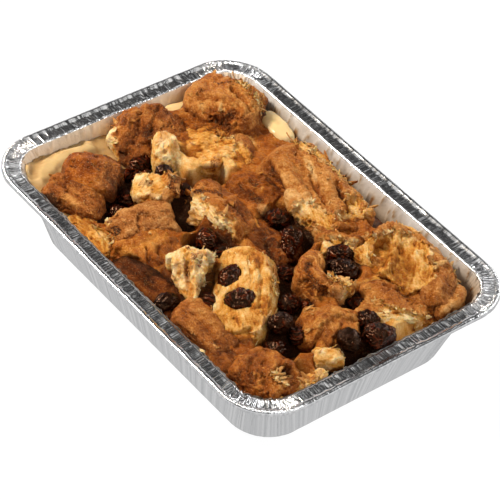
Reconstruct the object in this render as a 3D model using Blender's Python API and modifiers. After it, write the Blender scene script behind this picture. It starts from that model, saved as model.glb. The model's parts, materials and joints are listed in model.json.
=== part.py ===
"""Croissant bread pudding with raisins, baked and served in its own foil tray.

Origin: the middle of the tray's underside. X runs along the tray's long side, Y across it, Z up.
Every size is in millimetres while the pieces are shaped and trimmed, and metres in the finished part.
"""

import math

import bmesh
import bpy
from mathutils import Matrix, Vector, noise

MM = 0.001

# Foil tray: the outer edge of the curled rim, and the foil's thickness.
TRAY_LENGTH = 214.0
TRAY_WIDTH = 154.0
FOIL = 0.4
CORNER_STEPS = 5

# Rings of the foil's skin, from under the curled rim to the base: (inset, corner radius, height).
# An inset is the distance in from the rim's outer edge.
CURL = ((1.0, 25.0, 38.5), (0.2, 25.8, 39.9), (1.0, 25.0, 41.0))
FLANGE = ((2.8, 23.2, 40.7), (7.6, 18.6, 40.3), (8.8, 17.2, 39.4))
WALL = ((9.4, 17.4, 38.0), (18.0, 20.4, 3.2), (19.0, 20.0, 1.0), (21.0, 18.4, FOIL / 2))

# The custard that fills the tray is level in the middle and higher in the corner at -X, -Y.
GAP = 0.35
CUTTER_GAP = 0.45
LEVEL = 28.0
CORNER_RISE = 9.5
CORNER_REACH = 48.0
CORNER_INSET = 12.0
TOP_RINGS = (0.84, 0.6, 0.3)
ROOM_TOP = 70.0

# Trimmed pieces: the widest seam that is welded, and the bend below which two faces become one.
WELD = 0.1
FLAT_ANGLE = math.radians(7.0)

# Torn croissant pieces, the uppermost first: a piece gives way to those above it in the list.
# Each has its middle, its half sizes, and its roll, pitch and heading in degrees. Further values:
# square 0 is an ellipsoid and 1 a box, taper narrows the +X end, bend curls it round by degrees,
# ridges are (how many, how high), hollow is a dish in the top, and lumps is the unevenness.
PIECES = {
    "torn_wedge": dict(
        at=(18, -44, 41), half=(15, 9, 7), turn=(16, 16, -28), square=0.3, taper=0.5, lumps=0.2
    ),
    "crust_curl": dict(
        at=(48, 9, 37), half=(21, 5, 10), turn=(10, -6, 186), square=0.5, bend=235, cuts=4, lumps=0.1
    ),
    "crust_half": dict(
        at=(-1, 41, 36), half=(31, 17, 11), turn=(2, 5, -5), square=0.5, ridges=(3, 1.8), cuts=4, lumps=0.12
    ),
    "crust_top_corner": dict(at=(-74, 43, 38), half=(19, 17, 11), turn=(0, -6, 30), square=0.3, lumps=0.12),
    "crust_torn_side": dict(
        at=(-14, -4, 36), half=(20, 11, 9), turn=(-18, 4, 5), square=0.45, taper=0.1, lumps=0.14
    ),
    "bowl_right": dict(
        at=(60, 44, 36), half=(23, 17, 11), turn=(4, 4, 2), square=0.45, hollow=0.5, cuts=4, lumps=0.12
    ),
    "crust_tent": dict(
        at=(-79, 0, 35), half=(19, 14, 9), turn=(20, 2, 97), square=0.4, taper=-0.1, lumps=0.12
    ),
    "crumb_oval": dict(at=(37, -29, 35), half=(31, 15, 11), turn=(8, 8, -42), square=0.3, lumps=0.1),
    "glazed_knob": dict(
        at=(-67, -41, 35), half=(15, 13, 12), turn=(6, 4, 45), square=0.3, cuts=2, lumps=0.12
    ),
    "roll_end_left": dict(
        at=(-61, -55, 34), half=(16, 9, 9), turn=(0, 4, 22), square=0.35, cuts=2, lumps=0.1
    ),
    "crumb_block": dict(
        at=(-44, -21, 36), half=(11, 9, 9), turn=(10, -6, 45), square=0.4, cuts=2, lumps=0.16
    ),
    "crumb_spire": dict(
        at=(-64, 0, 37), half=(7, 8, 11), turn=(0, -8, 57), square=0.3, taper=0.1, cuts=2, lumps=0.18
    ),
    "crumb_pale": dict(at=(-55, 22, 31), half=(22, 17, 10), turn=(0, 0, 57), square=0.35, lumps=0.18),
    "crust_slope": dict(at=(-30, -39, 32), half=(18, 10, 9), turn=(6, 0, 78), square=0.45, lumps=0.1),
    "crust_behind": dict(
        at=(-18, 19, 33), half=(15, 11, 9), turn=(4, 0, 10), square=0.35, cuts=2, lumps=0.14
    ),
    "crust_flap": dict(at=(43, -56, 34), half=(17, 10, 7), turn=(-8, 6, 5), square=0.5, cuts=2, lumps=0.12),
    "crust_right_edge": dict(
        at=(80, 48, 35), half=(14, 7, 9), turn=(0, 10, -42), square=0.5, cuts=2, lumps=0.14
    ),
    "crust_lower": dict(at=(72, -9, 33), half=(15, 11, 9), turn=(6, 0, 52), square=0.4, cuts=2, lumps=0.14),
    "crumb_lower_right": dict(at=(77, 24, 32), half=(17, 14, 10), turn=(0, 0, 57), square=0.4, lumps=0.16),
    "crust_bottom_corner": dict(
        at=(80, -51, 32), half=(15, 12, 10), turn=(0, 0, 14), square=0.4, lumps=0.12
    ),
    "arch_behind_curl": dict(
        at=(36, 30, 34), half=(13, 6, 7), turn=(0, 0, 45), square=0.4, cuts=2, lumps=0.12
    ),
    "crust_folded": dict(
        at=(-17, -46, 31), half=(17, 12, 9), turn=(0, 0, 24), square=0.4, cuts=2, lumps=0.12
    ),
    "crust_wall_left": dict(
        at=(6, -58, 30), half=(26, 8, 8), turn=(0, 0, 3), square=0.4, cuts=2, lumps=0.12
    ),
    "crust_bridge": dict(at=(10, 2, 31), half=(16, 11, 7), turn=(0, 0, 10), square=0.4, cuts=2, lumps=0.14),
    "crust_wall_front": dict(
        at=(61, -59, 30), half=(16, 8, 8), turn=(0, 0, 3), square=0.4, cuts=2, lumps=0.12
    ),
    "strip_front": dict(at=(92, -41, 31), half=(3, 15, 7), turn=(0, 8, 2), square=0.6, cuts=2, lumps=0.1),
    "crumb_small": dict(at=(87, -21, 36), half=(7, 5, 5), turn=(0, 0, 57), square=0.4, cuts=2, lumps=0.18),
    "flake_corner": dict(at=(90, 47, 35), half=(9, 3, 7), turn=(0, 0, 100), square=0.5, cuts=2, lumps=0.1),
    "crumb_wall": dict(at=(-38, -61, 30), half=(17, 6, 8), turn=(0, 0, 2), square=0.4, cuts=2, lumps=0.16),
    "custard_back": dict(at=(-52, 58, 32), half=(14, 6, 8), turn=(0, 0, -6), square=0.3, cuts=2, lumps=0.08),
    "custard_left": dict(at=(-89, 25, 30), half=(6, 11, 7), turn=(0, 0, 0), square=0.3, cuts=2, lumps=0.08),
    "custard_front": dict(at=(57, -64, 31), half=(11, 5, 7), turn=(0, 0, 0), square=0.3, cuts=2, lumps=0.06),
}
LUMP_SPACING = 0.55
LUMP_HEIGHT = 1.6
LUMP_STEP = Vector((7.3, 0.0, 0.0))
DISH_REACH = 1.6

# Raisins: (x, y, z of the middle, length, heading, tilt), the last two in degrees.
RAISINS = (
    (-49, -12, 42, 9, 57, 0),
    (-38, -8, 34, 13, -20, 20),
    (-66, -13, 35, 13, 100, 0),
    (-59, -16, 33, 11, 57, 10),
    (-50, -32, 33, 13, 40, 0),
    (-46, -41, 32, 11, 60, 0),
    (-3, -21, 38, 13, -30, 10),
    (5, -18, 35, 10, 40, -20),
    (27, -30, 42, 16, 120, -15),
    (41, -35, 42, 16, 60, 0),
    (31, -45, 37, 14, -2, 10),
    (20, -60, 37, 13, 57, 0),
    (3, 16, 38, 13, 57, 0),
    (17, 13, 38, 14, -38, 10),
    (21, 8, 36, 11, -38, 0),
    (31, -3, 34, 11, 20, 10),
    (49, -14, 35, 13, 57, 0),
    (61, -28, 41, 13, 60, 0),
    (68, -24, 37, 10, -40, 0),
    (68, -36, 35, 10, 57, 0),
    (39, 24, 39, 13, 57, 0),
    (48, 19, 39, 15, 20, 0),
    (68, 12, 36, 11, 40, 0),
    (79, 7, 39, 12, 57, 0),
    (92, 3, 42, 16, 50, 0),
    (86, -9, 41, 13, 0, 0),
)
RAISIN_SHAPE = Vector((1.0, 0.74, 0.66)) / 2
RAISIN_DENTS = 0.12
DENT_SPACING = 0.6
DENT_STEP = Vector((3.1, 0.0, 0.0))

# Each finish: colour, roughness and metallic value.
FINISHES = {
    "foil": ((0.78, 0.78, 0.79, 1.0), 0.25, 1.0),
    "custard": ((0.62, 0.36, 0.14, 1.0), 0.4, 0.0),
    "crust": ((0.42, 0.16, 0.04, 1.0), 0.5, 0.0),
    "crumb": ((0.78, 0.52, 0.2, 1.0), 0.7, 0.0),
    "raisin": ((0.03, 0.01, 0.008, 1.0), 0.25, 0.0),
}
FINISH_WORDS = {"custard": "custard", "crumb": "crumb", "torn": "crumb", "bowl": "crumb"}


def clear_scene():
    for item in list(bpy.data.objects):
        bpy.data.objects.remove(item, do_unlink=True)


def new_collection(name):
    collection = bpy.data.collections.new(name)
    bpy.context.scene.collection.children.link(collection)
    return collection


def new_finish(name):
    colour, roughness, metallic = FINISHES[name]
    made = bpy.data.materials.new(name)
    made.use_nodes = True
    shader = made.node_tree.nodes["Principled BSDF"]
    shader.inputs["Base Color"].default_value = colour
    shader.inputs["Roughness"].default_value = roughness
    shader.inputs["Metallic"].default_value = metallic
    return made


def new_object(bm, name, collection, at=(0, 0, 0), turn=(0, 0, 0)):
    """An object of the bmesh, placed and turned, still in millimetres."""
    bmesh.ops.recalc_face_normals(bm, faces=bm.faces)
    mesh = bpy.data.meshes.new(name)
    bm.to_mesh(mesh)
    bm.free()
    made = bpy.data.objects.new(name, mesh)
    made.location = at
    made.rotation_euler = [math.radians(angle) for angle in turn]
    collection.objects.link(made)
    return made


def new_cutter(bm, name, collection, at=(0, 0, 0), turn=(0, 0, 0)):
    made = new_object(bm, name, collection, at, turn)
    made.hide_render = True
    made.display_type = "WIRE"
    return made


def finished(obj, finish):
    """Takes the object from millimetres to metres, and gives it its finish."""
    obj.data.transform(Matrix.Scale(MM, 4))
    obj.location *= MM
    obj.data.materials.append(finish)
    return obj


# Rounded rectangles: all rings have the same corners and steps, so that one ring joins the next.


def ring_points(inset, radius, height):
    """The points of a rounded rectangle that lies inset from the rim's outer edge."""
    middle_x = TRAY_LENGTH / 2 - inset - radius
    middle_y = TRAY_WIDTH / 2 - inset - radius
    points = []
    for quarter, (side_x, side_y) in enumerate(((1, 1), (-1, 1), (-1, -1), (1, -1))):
        for step in range(CORNER_STEPS + 1):
            angle = math.radians(90 * (quarter + step / CORNER_STEPS))
            x = side_x * middle_x + radius * math.cos(angle)
            y = side_y * middle_y + radius * math.sin(angle)
            points.append(Vector((x, y, height)))
    return points


def band_of_rings(bm, rings):
    """Bridges each ring to the next, and returns the vertices of the first and the last."""
    loops = []
    for level, points in enumerate(rings):
        place = Matrix.Translation((0, 0, level))
        loops.append(bmesh.ops.create_circle(bm, segments=len(points), radius=1.0, matrix=place)["verts"])
    for lower, upper in zip(loops, loops[1:]):
        edges = [bm.edges.get((loop[i - 1], loop[i])) for loop in (lower, upper) for i in range(len(loop))]
        bmesh.ops.bridge_loops(bm, edges=edges)
    for loop, points in zip(loops, rings):
        for vert, point in zip(loop, points):
            vert.co = point
    return loops[0], loops[-1]


def build_tray(collection):
    bm = bmesh.new()
    _, base = band_of_rings(bm, [ring_points(*ring) for ring in CURL + FLANGE + WALL])
    bm.faces.new(base)
    tray = new_object(bm, "foil_tray", collection)
    skin = tray.modifiers.new("Foil thickness", "SOLIDIFY")
    skin.thickness = FOIL * MM
    skin.offset = 0.0
    return tray


# The custard's level, and the room above it that the torn pieces may fill.


def level_at(x, y):
    """The custard's height: flat, but rising to the corner at -X, -Y."""
    corner = Vector((CORNER_INSET - TRAY_LENGTH / 2, CORNER_INSET - TRAY_WIDTH / 2))
    closeness = max(0.0, 1.0 - (Vector((x, y)) - corner).length / CORNER_REACH)
    return LEVEL + CORNER_RISE * closeness * (2.0 - closeness)


def clear_of_wall(height):
    """The inset and corner radius of a ring just inside the tray's wall at this height."""
    (high_inset, high_radius, high), (low_inset, low_radius, low) = WALL[:2]
    share = (high - height) / (high - low)
    inset = high_inset + share * (low_inset - high_inset) + FOIL / 2 + GAP
    return inset, high_radius + share * (low_radius - high_radius)


def surface_rings(lift):
    """Rings over the custard's top, from the tray's wall to the middle, lifted by lift."""
    inset, radius = clear_of_wall(LEVEL)
    outline = ring_points(inset, radius, 0.0)
    rings = []
    for share in (1.0,) + TOP_RINGS:
        ring = []
        for point in outline:
            x, y = point.x * share, point.y * share
            z = level_at(x, y) + lift
            if share == 1.0:
                outward = inset - clear_of_wall(z)[0]
                x += math.copysign(outward, x)
                y += math.copysign(outward, y)
            ring.append(Vector((x, y, z)))
        rings.append(ring)
    return rings


def body_on_surface(lift, rings):
    """A body with the custard's top, lifted by lift, as one end and the last of the rings as the other."""
    surface = surface_rings(lift)
    bm = bmesh.new()
    _, middle = band_of_rings(bm, surface)
    bm.faces.new(middle)
    bmesh.ops.triangulate(bm, faces=bm.faces, quad_method="FIXED")
    _, end = band_of_rings(bm, surface[:1] + rings)
    bm.faces.new(end)
    bmesh.ops.remove_doubles(bm, verts=bm.verts, dist=WELD)
    return bm


def build_filling(collection):
    base_inset, base_radius, base_height = WALL[-1]
    low_height = WALL[1][2]
    low = ring_points(*clear_of_wall(low_height), low_height)
    base = ring_points(base_inset, base_radius, base_height + FOIL / 2 + GAP)
    return new_object(body_on_surface(0.0, [low, base]), "custard_filling", collection)


def build_room(collection):
    """The room above the custard and inside the tray, which trims every piece."""
    inset, radius, _ = FLANGE[-1]
    inset += FOIL / 2 + GAP
    mouth = ring_points(inset, radius, FLANGE[0][2])
    top = ring_points(inset, radius, ROOM_TOP)
    return new_cutter(body_on_surface(GAP, [mouth, top]), "room", collection)


# Torn pieces: a finely divided box whose points a few named values move into place.


def bent(place, length, degrees):
    """Curls a bar of this length, lying along X, round an axis along Z."""
    arc = math.radians(degrees)
    radius = length / arc
    angle = place.x / radius
    return Vector(((radius + place.y) * math.sin(angle), (radius + place.y) * math.cos(angle), place.z))


def moved_point(point, spec):
    """Where a point of a box of half size 1 lies on the piece, before the piece is turned and placed."""
    half = spec["half"]
    share = point.normalized().lerp(point, spec["square"])
    narrow = 1.0 - spec.get("taper", 0.0) * share.x
    place = Vector((half[0] * share.x, half[1] * share.y * narrow, half[2] * share.z * narrow))
    if share.z > 0:
        count, height = spec.get("ridges", (0, 0.0))
        dish = max(0.0, 1.0 - DISH_REACH * (share.x**2 + share.y**2))
        place.z += height * math.cos(count * math.pi * share.y) * share.z
        place.z -= spec.get("hollow", 0.0) * half[2] * dish
    if "bend" in spec:
        place = bent(place, 2 * half[0], spec["bend"])
    return place


def shape_piece(spec, order, grow=0.0):
    """The bmesh of a torn piece, whose faces stand out by grow."""
    half = spec["half"]
    bm = bmesh.new()
    bmesh.ops.create_cube(bm, size=2.0)
    bmesh.ops.subdivide_edges(bm, edges=bm.edges, cuts=spec.get("cuts", 3), use_grid_fill=True)
    spacing = max(half) * LUMP_SPACING
    for vert in bm.verts:
        away = vert.co.normalized()
        place = moved_point(vert.co, spec)
        lump = spec["lumps"] * LUMP_HEIGHT * noise.noise(place / spacing + order * LUMP_STEP)
        vert.co = place + Vector([away[i] * half[i] * lump for i in range(3)])
    bmesh.ops.recalc_face_normals(bm, faces=bm.faces)
    bm.normal_update()
    grown = [vert.co + vert.normal * grow for vert in bm.verts]
    for vert, place in zip(bm.verts, grown):
        vert.co = place
    bmesh.ops.triangulate(bm, faces=bm.faces)
    return bm


def shape_raisin(length, order, grow=0.0):
    bm = bmesh.new()
    bmesh.ops.create_uvsphere(bm, u_segments=7, v_segments=5, radius=1.0)
    for vert in bm.verts:
        dent = 1.0 + RAISIN_DENTS * noise.noise(vert.co / DENT_SPACING + (order + 1) * DENT_STEP)
        vert.co = Vector([vert.co[i] * (length * RAISIN_SHAPE[i] * dent + grow) for i in range(3)])
    return bm


# Trimming: where two pieces meet, the upper one keeps its shape and the lower one a narrow gap.


def reach(obj):
    """The object's lowest and highest corner."""
    corners = [obj.matrix_world @ Vector(corner) for corner in obj.bound_box]
    low = [min(corner[i] for corner in corners) for i in range(3)]
    high = [max(corner[i] for corner in corners) for i in range(3)]
    return low, high


def are_near(first, second):
    low_a, high_a = reach(first)
    low_b, high_b = reach(second)
    return all(low_a[i] < high_b[i] and low_b[i] < high_a[i] for i in range(3))


def keep_largest_body(bm):
    """Deletes all but the largest of the bodies that a cut has left."""
    left = set(bm.verts)
    bodies = []
    while left:
        body = set()
        front = [left.pop()]
        while front:
            vert = front.pop()
            body.add(vert)
            linked = {link.other_vert(vert) for link in vert.link_edges} & left
            left -= linked
            front += linked
        bodies.append(body)
    bodies.sort(key=len)
    spare = [vert for body in bodies[:-1] for vert in body]
    bmesh.ops.delete(bm, geom=spare, context="VERTS")


def trim(obj, room, uppers):
    """Keeps the part of the piece that is inside the room and clear of the pieces above it."""
    bpy.context.view_layer.update()
    steps = [(room, "INTERSECT")] + [(upper, "DIFFERENCE") for upper in uppers if are_near(obj, upper)]
    for cutter, operation in steps:
        cut = obj.modifiers.new(cutter.name, "BOOLEAN")
        cut.operation = operation
        cut.solver = "EXACT"
        cut.object = cutter
    graph = bpy.context.evaluated_depsgraph_get()
    mesh = bpy.data.meshes.new_from_object(obj.evaluated_get(graph))
    obj.modifiers.clear()
    bm = bmesh.new()
    bm.from_mesh(mesh)
    bmesh.ops.remove_doubles(bm, verts=bm.verts, dist=WELD)
    keep_largest_body(bm)
    bmesh.ops.dissolve_limit(bm, angle_limit=FLAT_ANGLE, verts=bm.verts, edges=bm.edges)
    bmesh.ops.triangulate(bm, faces=bm.faces)
    bmesh.ops.dissolve_degenerate(bm, edges=bm.edges, dist=WELD / 2)
    bm.to_mesh(mesh)
    bm.free()
    obj.data = mesh


def finish_for(name):
    return next((finish for word, finish in FINISH_WORDS.items() if word in name), "crust")


def main():
    clear_scene()
    dish = new_collection("bread_pudding")
    cutters = new_collection("cutters")
    finishes = {name: new_finish(name) for name in FINISHES}
    finished(build_tray(dish), finishes["foil"])
    finished(build_filling(dish), finishes["custard"])
    room = build_room(cutters)
    uppers = []
    trimmed = []
    for order, (x, y, z, length, heading, tilt) in enumerate(RAISINS):
        name = f"raisin_{order + 1:02d}"
        place = ((x, y, z), (tilt, 0, heading))
        raisin = new_object(shape_raisin(length, order), name, dish, *place)
        trim(raisin, room, uppers)
        trimmed.append((raisin, finishes["raisin"]))
        uppers.append(new_cutter(shape_raisin(length, order, CUTTER_GAP), name + "_cutter", cutters, *place))
    for order, (name, spec) in enumerate(PIECES.items()):
        place = (spec["at"], spec["turn"])
        piece = new_object(shape_piece(spec, order), name, dish, *place)
        trim(piece, room, uppers)
        trimmed.append((piece, finishes[finish_for(name)]))
        uppers.append(new_cutter(shape_piece(spec, order, CUTTER_GAP), name + "_cutter", cutters, *place))
    for piece, finish in trimmed:
        finished(piece, finish)


main()
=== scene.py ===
# %% [markdown]
# # Croissant bread pudding in a foil tray
#
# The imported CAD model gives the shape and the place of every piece. This script dresses it: it gives
# the foil its pleats, the torn croissant its flaky crust and stringy crumb, the raisins their
# wrinkles, and sets them in a soft studio. The frame comes first, because everything is placed by it.

import json
import math

import bmesh
import bpy
import numpy as np
from mathutils import Matrix, Vector, noise
from mathutils.bvhtree import BVHTree


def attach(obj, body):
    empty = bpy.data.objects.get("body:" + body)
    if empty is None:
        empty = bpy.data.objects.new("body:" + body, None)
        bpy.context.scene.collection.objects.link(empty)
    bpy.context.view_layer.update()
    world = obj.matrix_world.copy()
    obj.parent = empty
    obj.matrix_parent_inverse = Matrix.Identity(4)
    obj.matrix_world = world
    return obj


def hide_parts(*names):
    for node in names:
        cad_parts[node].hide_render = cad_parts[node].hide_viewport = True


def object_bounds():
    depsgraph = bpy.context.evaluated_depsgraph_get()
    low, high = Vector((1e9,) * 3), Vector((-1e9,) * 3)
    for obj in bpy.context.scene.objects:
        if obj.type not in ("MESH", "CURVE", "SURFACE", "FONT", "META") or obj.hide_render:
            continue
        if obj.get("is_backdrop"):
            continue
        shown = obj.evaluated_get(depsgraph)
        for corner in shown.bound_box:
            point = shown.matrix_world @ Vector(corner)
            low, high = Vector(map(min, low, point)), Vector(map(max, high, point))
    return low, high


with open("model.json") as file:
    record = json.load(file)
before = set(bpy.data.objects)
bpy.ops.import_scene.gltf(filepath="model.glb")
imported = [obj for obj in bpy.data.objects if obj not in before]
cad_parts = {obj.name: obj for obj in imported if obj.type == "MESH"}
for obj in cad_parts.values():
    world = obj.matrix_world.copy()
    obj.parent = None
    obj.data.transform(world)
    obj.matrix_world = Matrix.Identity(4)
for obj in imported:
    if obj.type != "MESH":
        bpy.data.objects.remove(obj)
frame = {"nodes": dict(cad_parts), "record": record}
cad_low, cad_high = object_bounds()
scene = bpy.context.scene
MM = 0.001
print("CAD box in mm:", [round(side / MM, 1) for side in cad_high - cad_low])

# %% [markdown]
# ## Camera
#
# A small tray seen from about a metre away through a long lens looks almost free of
# perspective. The camera is placed by its aim, its distance and its three angles, so that each can be
# changed on its own.

# %% Camera
CAMERA_AIM = Vector((-18.3, 19.7, 0.0)) * MM
CAMERA_DISTANCE = 1.16405
CAMERA_HEADING = math.radians(48.4526)
CAMERA_ELEVATION = math.radians(42.2808)
CAMERA_ROLL = math.radians(5.893)
LENS_MM = 174.03
SENSOR_MM = 36.0

camera = bpy.data.objects.new("camera", bpy.data.cameras.new("camera"))
camera.data.lens = LENS_MM
camera.data.sensor_width = SENSOR_MM
camera.data.clip_start = 0.05
camera.data.clip_end = 20.0
level = math.cos(CAMERA_ELEVATION)
back = Vector(
    (math.sin(CAMERA_HEADING) * level, -math.cos(CAMERA_HEADING) * level, math.sin(CAMERA_ELEVATION))
)
camera.location = CAMERA_AIM + back * CAMERA_DISTANCE
camera.rotation_mode = "QUATERNION"
turned = back.to_track_quat("Z", "Y").to_matrix().to_4x4() @ Matrix.Rotation(CAMERA_ROLL, 4, "Z")
camera.rotation_quaternion = turned.to_quaternion()
scene.collection.objects.link(camera)
scene.camera = camera
print("camera at", [round(x, 3) for x in camera.location])

# %% [markdown]
# ## Colours and nodes
#
# Colours are picked as sRGB hex values, the way a paint chart gives them, and Blender's shaders work
# in linear light, so one function turns the one into the other. A second function adds a node with
# its settings and links, and the rest are short names for the nodes that come back most often.


# %% Colour and node helpers
def linear(hex_colour):
    """The linear colour, with alpha, of an sRGB hex value."""
    parts = [int(hex_colour[i : i + 2], 16) / 255 for i in (1, 3, 5)]
    return [p / 12.92 if p <= 0.04045 else ((p + 0.055) / 1.055) ** 2.4 for p in parts] + [1.0]


def add_node(tree, kind, links=None, inputs=None, **settings):
    """Adds a node, sets its properties and input values, and links other sockets to its inputs."""
    node = tree.nodes.new(kind)
    for name, value in settings.items():
        setattr(node, name, value)
    for name, value in (inputs or {}).items():
        node.inputs[name].default_value = value
    for name, socket in (links or {}).items():
        tree.links.new(socket, node.inputs[name])
    return node


def new_material(name):
    """A material with its Principled shader, and its node tree."""
    made = bpy.data.materials.new(name)
    made.use_nodes = True
    return made, made.node_tree, made.node_tree.nodes["Principled BSDF"]


def set_inputs(shader, **values):
    """Sets inputs by name, with an underscore for each space."""
    for name, value in values.items():
        shader.inputs[name.replace("_", " ")].default_value = value


def ramp(tree, value, stops):
    """A colour ramp of (place, hex colour) stops, read at a value."""
    node = add_node(tree, "ShaderNodeValToRGB", {"Fac": value})
    elements = node.color_ramp.elements
    while len(elements) > 1:
        elements.remove(elements[-1])
    elements[0].position, elements[0].color = stops[0][0], linear(stops[0][1])
    for place, colour in stops[1:]:
        elements.new(place).color = linear(colour)
    return node.outputs["Color"]


def mix(tree, share, first, second):
    """Mixes two colours, each of them a socket or a hex value."""
    colours = {"Color1": first, "Color2": second}
    links = {name: colour for name, colour in colours.items() if not isinstance(colour, str)}
    inputs = {name: linear(colour) for name, colour in colours.items() if isinstance(colour, str)}
    return add_node(tree, "ShaderNodeMixRGB", {"Fac": share, **links}, inputs).outputs["Color"]


def maths(tree, operation, *terms, **settings):
    """A Math node of sockets and plain numbers."""
    links = {place: term for place, term in enumerate(terms) if not isinstance(term, float)}
    inputs = {place: term for place, term in enumerate(terms) if isinstance(term, float)}
    node = add_node(tree, "ShaderNodeMath", links, inputs, operation=operation, **settings)
    return node.outputs["Value"]


def span(tree, value, from_min, from_max, to_min, to_max):
    """Turns one range of values into another and stops at its ends."""
    inputs = {"From Min": from_min, "From Max": from_max, "To Min": to_min, "To Max": to_max}
    return add_node(tree, "ShaderNodeMapRange", {"Value": value}, inputs).outputs["Result"]


def painted_value(tree, name):
    """What was painted on the points under this name."""
    return add_node(tree, "ShaderNodeAttribute", attribute_name=name).outputs["Fac"]


def speckles(tree, size, detail=2.0, roughness=0.5):
    """Noise whose lumps are this many millimetres apart."""
    place = add_node(tree, "ShaderNodeTexCoord").outputs["Object"]
    inputs = {"Scale": 1 / (size * MM), "Detail": detail, "Roughness": roughness}
    return add_node(tree, "ShaderNodeTexNoise", {"Vector": place}, inputs).outputs["Fac"]


def bumps(tree, height, distance, strength=1.0, links=None):
    """The normal of bumps up to this many millimetres deep."""
    inputs = {"Strength": strength, "Distance": distance * MM}
    return add_node(tree, "ShaderNodeBump", {"Height": height, **(links or {})}, inputs).outputs["Normal"]


def mesh_from(bm, name):
    """Ends a bmesh as a mesh of this name."""
    mesh = bpy.data.meshes.new(name)
    bm.to_mesh(mesh)
    bm.free()
    return mesh


# %% [markdown]
# ## Studio
#
# Foil is a mirror, so it shows the room more than itself. The room is bright near the floor and
# overhead and dark in between: that dark band is what makes the flat rim grey and its pleats glint.
# A large soft lamp behind the tray's left corner is the main light, and the floor is plain and pale.

# %% World, lamps and floor
scene.view_settings.view_transform = "Standard"

world = bpy.data.worlds.new("studio")
scene.world = world
world.use_nodes = True
tree = world.node_tree
tree.nodes.clear()
direction = add_node(tree, "ShaderNodeTexCoord")
height = add_node(tree, "ShaderNodeSeparateXYZ", {"Vector": direction.outputs["Generated"]})
ROOM_BANDS = ((0.0, "#FFFFFF"), (0.22, "#FFFFFF"), (0.36, "#3E3D3D"), (0.82, "#2F2F2F"), (0.93, "#E9E8E6"))
room = ramp(tree, height.outputs["Z"], ROOM_BANDS)
ROOM_ON_FOOD = 0.68
ray = add_node(tree, "ShaderNodeLightPath")
power = span(tree, ray.outputs["Is Diffuse Ray"], 0.0, 1.0, 1.0, ROOM_ON_FOOD)
glow = add_node(tree, "ShaderNodeBackground", {"Color": room, "Strength": power})
add_node(tree, "ShaderNodeOutputWorld", {"Surface": glow.outputs["Background"]})


def add_lamp(name, place, size, power, colour="#FFFFFF"):
    """A square soft lamp at place, in metres, that faces the tray."""
    lamp = bpy.data.objects.new(name, bpy.data.lights.new(name, "AREA"))
    lamp.data.size = size
    lamp.data.energy = power
    lamp.data.color = linear(colour)[:3]
    lamp.location = place
    lamp.rotation_euler = Vector(place).to_track_quat("Z", "Y").to_euler()
    scene.collection.objects.link(lamp)


add_lamp("key", (-0.55, -0.38, 0.72), 0.2, 13.2, "#FFF4E6")
add_lamp("fill", (0.7, 0.0, 0.7), 0.5, 2.5)
add_lamp("rim", (0.25, 0.95, 0.55), 0.4, 5.0)

# The floor looks white, but the foil sees it as pale grey, and it sends little light up at the food.
floor_paper, tree, _ = new_material("white_paper")
tree.nodes.clear()
ray = add_node(tree, "ShaderNodeLightPath")
matt = add_node(tree, "ShaderNodeBsdfDiffuse", None, {"Color": linear("#505050")})
seen = add_node(tree, "ShaderNodeEmission", None, {"Color": linear("#FFFFFF"), "Strength": 0.96})
mirrored = add_node(tree, "ShaderNodeEmission", None, {"Color": linear("#FFFFFF"), "Strength": 0.74})
plain = add_node(
    tree, "ShaderNodeAddShader", {0: matt.outputs["BSDF"], 1: seen.outputs["Emission"]}
)
grey = add_node(
    tree, "ShaderNodeMixShader", {1: matt.outputs["BSDF"], 2: mirrored.outputs["Emission"]}, {"Fac": 0.8}
)
both = add_node(
    tree,
    "ShaderNodeMixShader",
    {"Fac": ray.outputs["Is Camera Ray"], 1: grey.outputs["Shader"], 2: plain.outputs["Shader"]},
)
add_node(tree, "ShaderNodeOutputMaterial", {"Surface": both.outputs["Shader"]})
bm = bmesh.new()
bmesh.ops.create_grid(bm, x_segments=1, y_segments=1, size=3.0)
floor_mesh = mesh_from(bm, "floor")
floor = bpy.data.objects.new("floor", floor_mesh)
floor.location.z = -0.0001
floor_mesh.materials.append(floor_paper)
scene.collection.objects.link(floor)
floor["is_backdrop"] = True

# %% [markdown]
# ## Reading and moving points
#
# The looks of food are mostly in its relief. Each piece becomes an even mesh whose points are moved
# by noise, so these helpers read all its points at once, in millimetres, and write them back.


# %% Mesh helpers
def points_of(mesh, what="co"):
    """The points, or their normals, of a mesh as an array, points in millimetres."""
    values = np.empty(len(mesh.vertices) * 3, np.float32)
    if what == "co":
        mesh.vertices.foreach_get("co", values)
        return values.reshape(-1, 3).astype(float) / MM
    mesh.vertex_normals.foreach_get("vector", values)
    return values.reshape(-1, 3).astype(float)


def move_points(mesh, points):
    """Puts the mesh's points at these places, in millimetres."""
    mesh.vertices.foreach_set("co", (points * MM).astype(np.float32).ravel())
    mesh.update()


def paint(mesh, name, values):
    """Stores one value for each point, for the material to read."""
    layer = mesh.attributes.get(name) or mesh.attributes.new(name, "FLOAT", "POINT")
    layer.data.foreach_set("value", np.asarray(values, np.float32))


def smooth_step(low, high, values):
    """0 below low, 1 above high, and a smooth climb in between."""
    share = np.clip((values - low) / (high - low), 0.0, 1.0)
    return share * share * (3.0 - 2.0 * share)


def lumps(points, size, octaves=2, seed=0.0):
    """Soft noise from about -1 to 1, with lumps of this size in millimetres."""
    spots = (points / size + seed * 17.3).tolist()
    return np.array([noise.fractal(spot, 1.0, 2.0, octaves) for spot in spots])


def creases(points, size, octaves=2, seed=0.0):
    """Sharp ridges from 0 to about 1, this far apart in millimetres."""
    spots = (points / size + seed * 11.9).tolist()
    total = np.zeros(len(points))
    share = 1.0
    for octave in range(octaves):
        scale = 2.0**octave
        ridge = 1.0 - 2.0 * np.abs(np.array([noise.noise([x * scale for x in spot]) for spot in spots]))
        total += share * ridge
        share *= 0.5
    return np.clip(total / (2.0 - share * 2.0), 0.0, 1.0)


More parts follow.
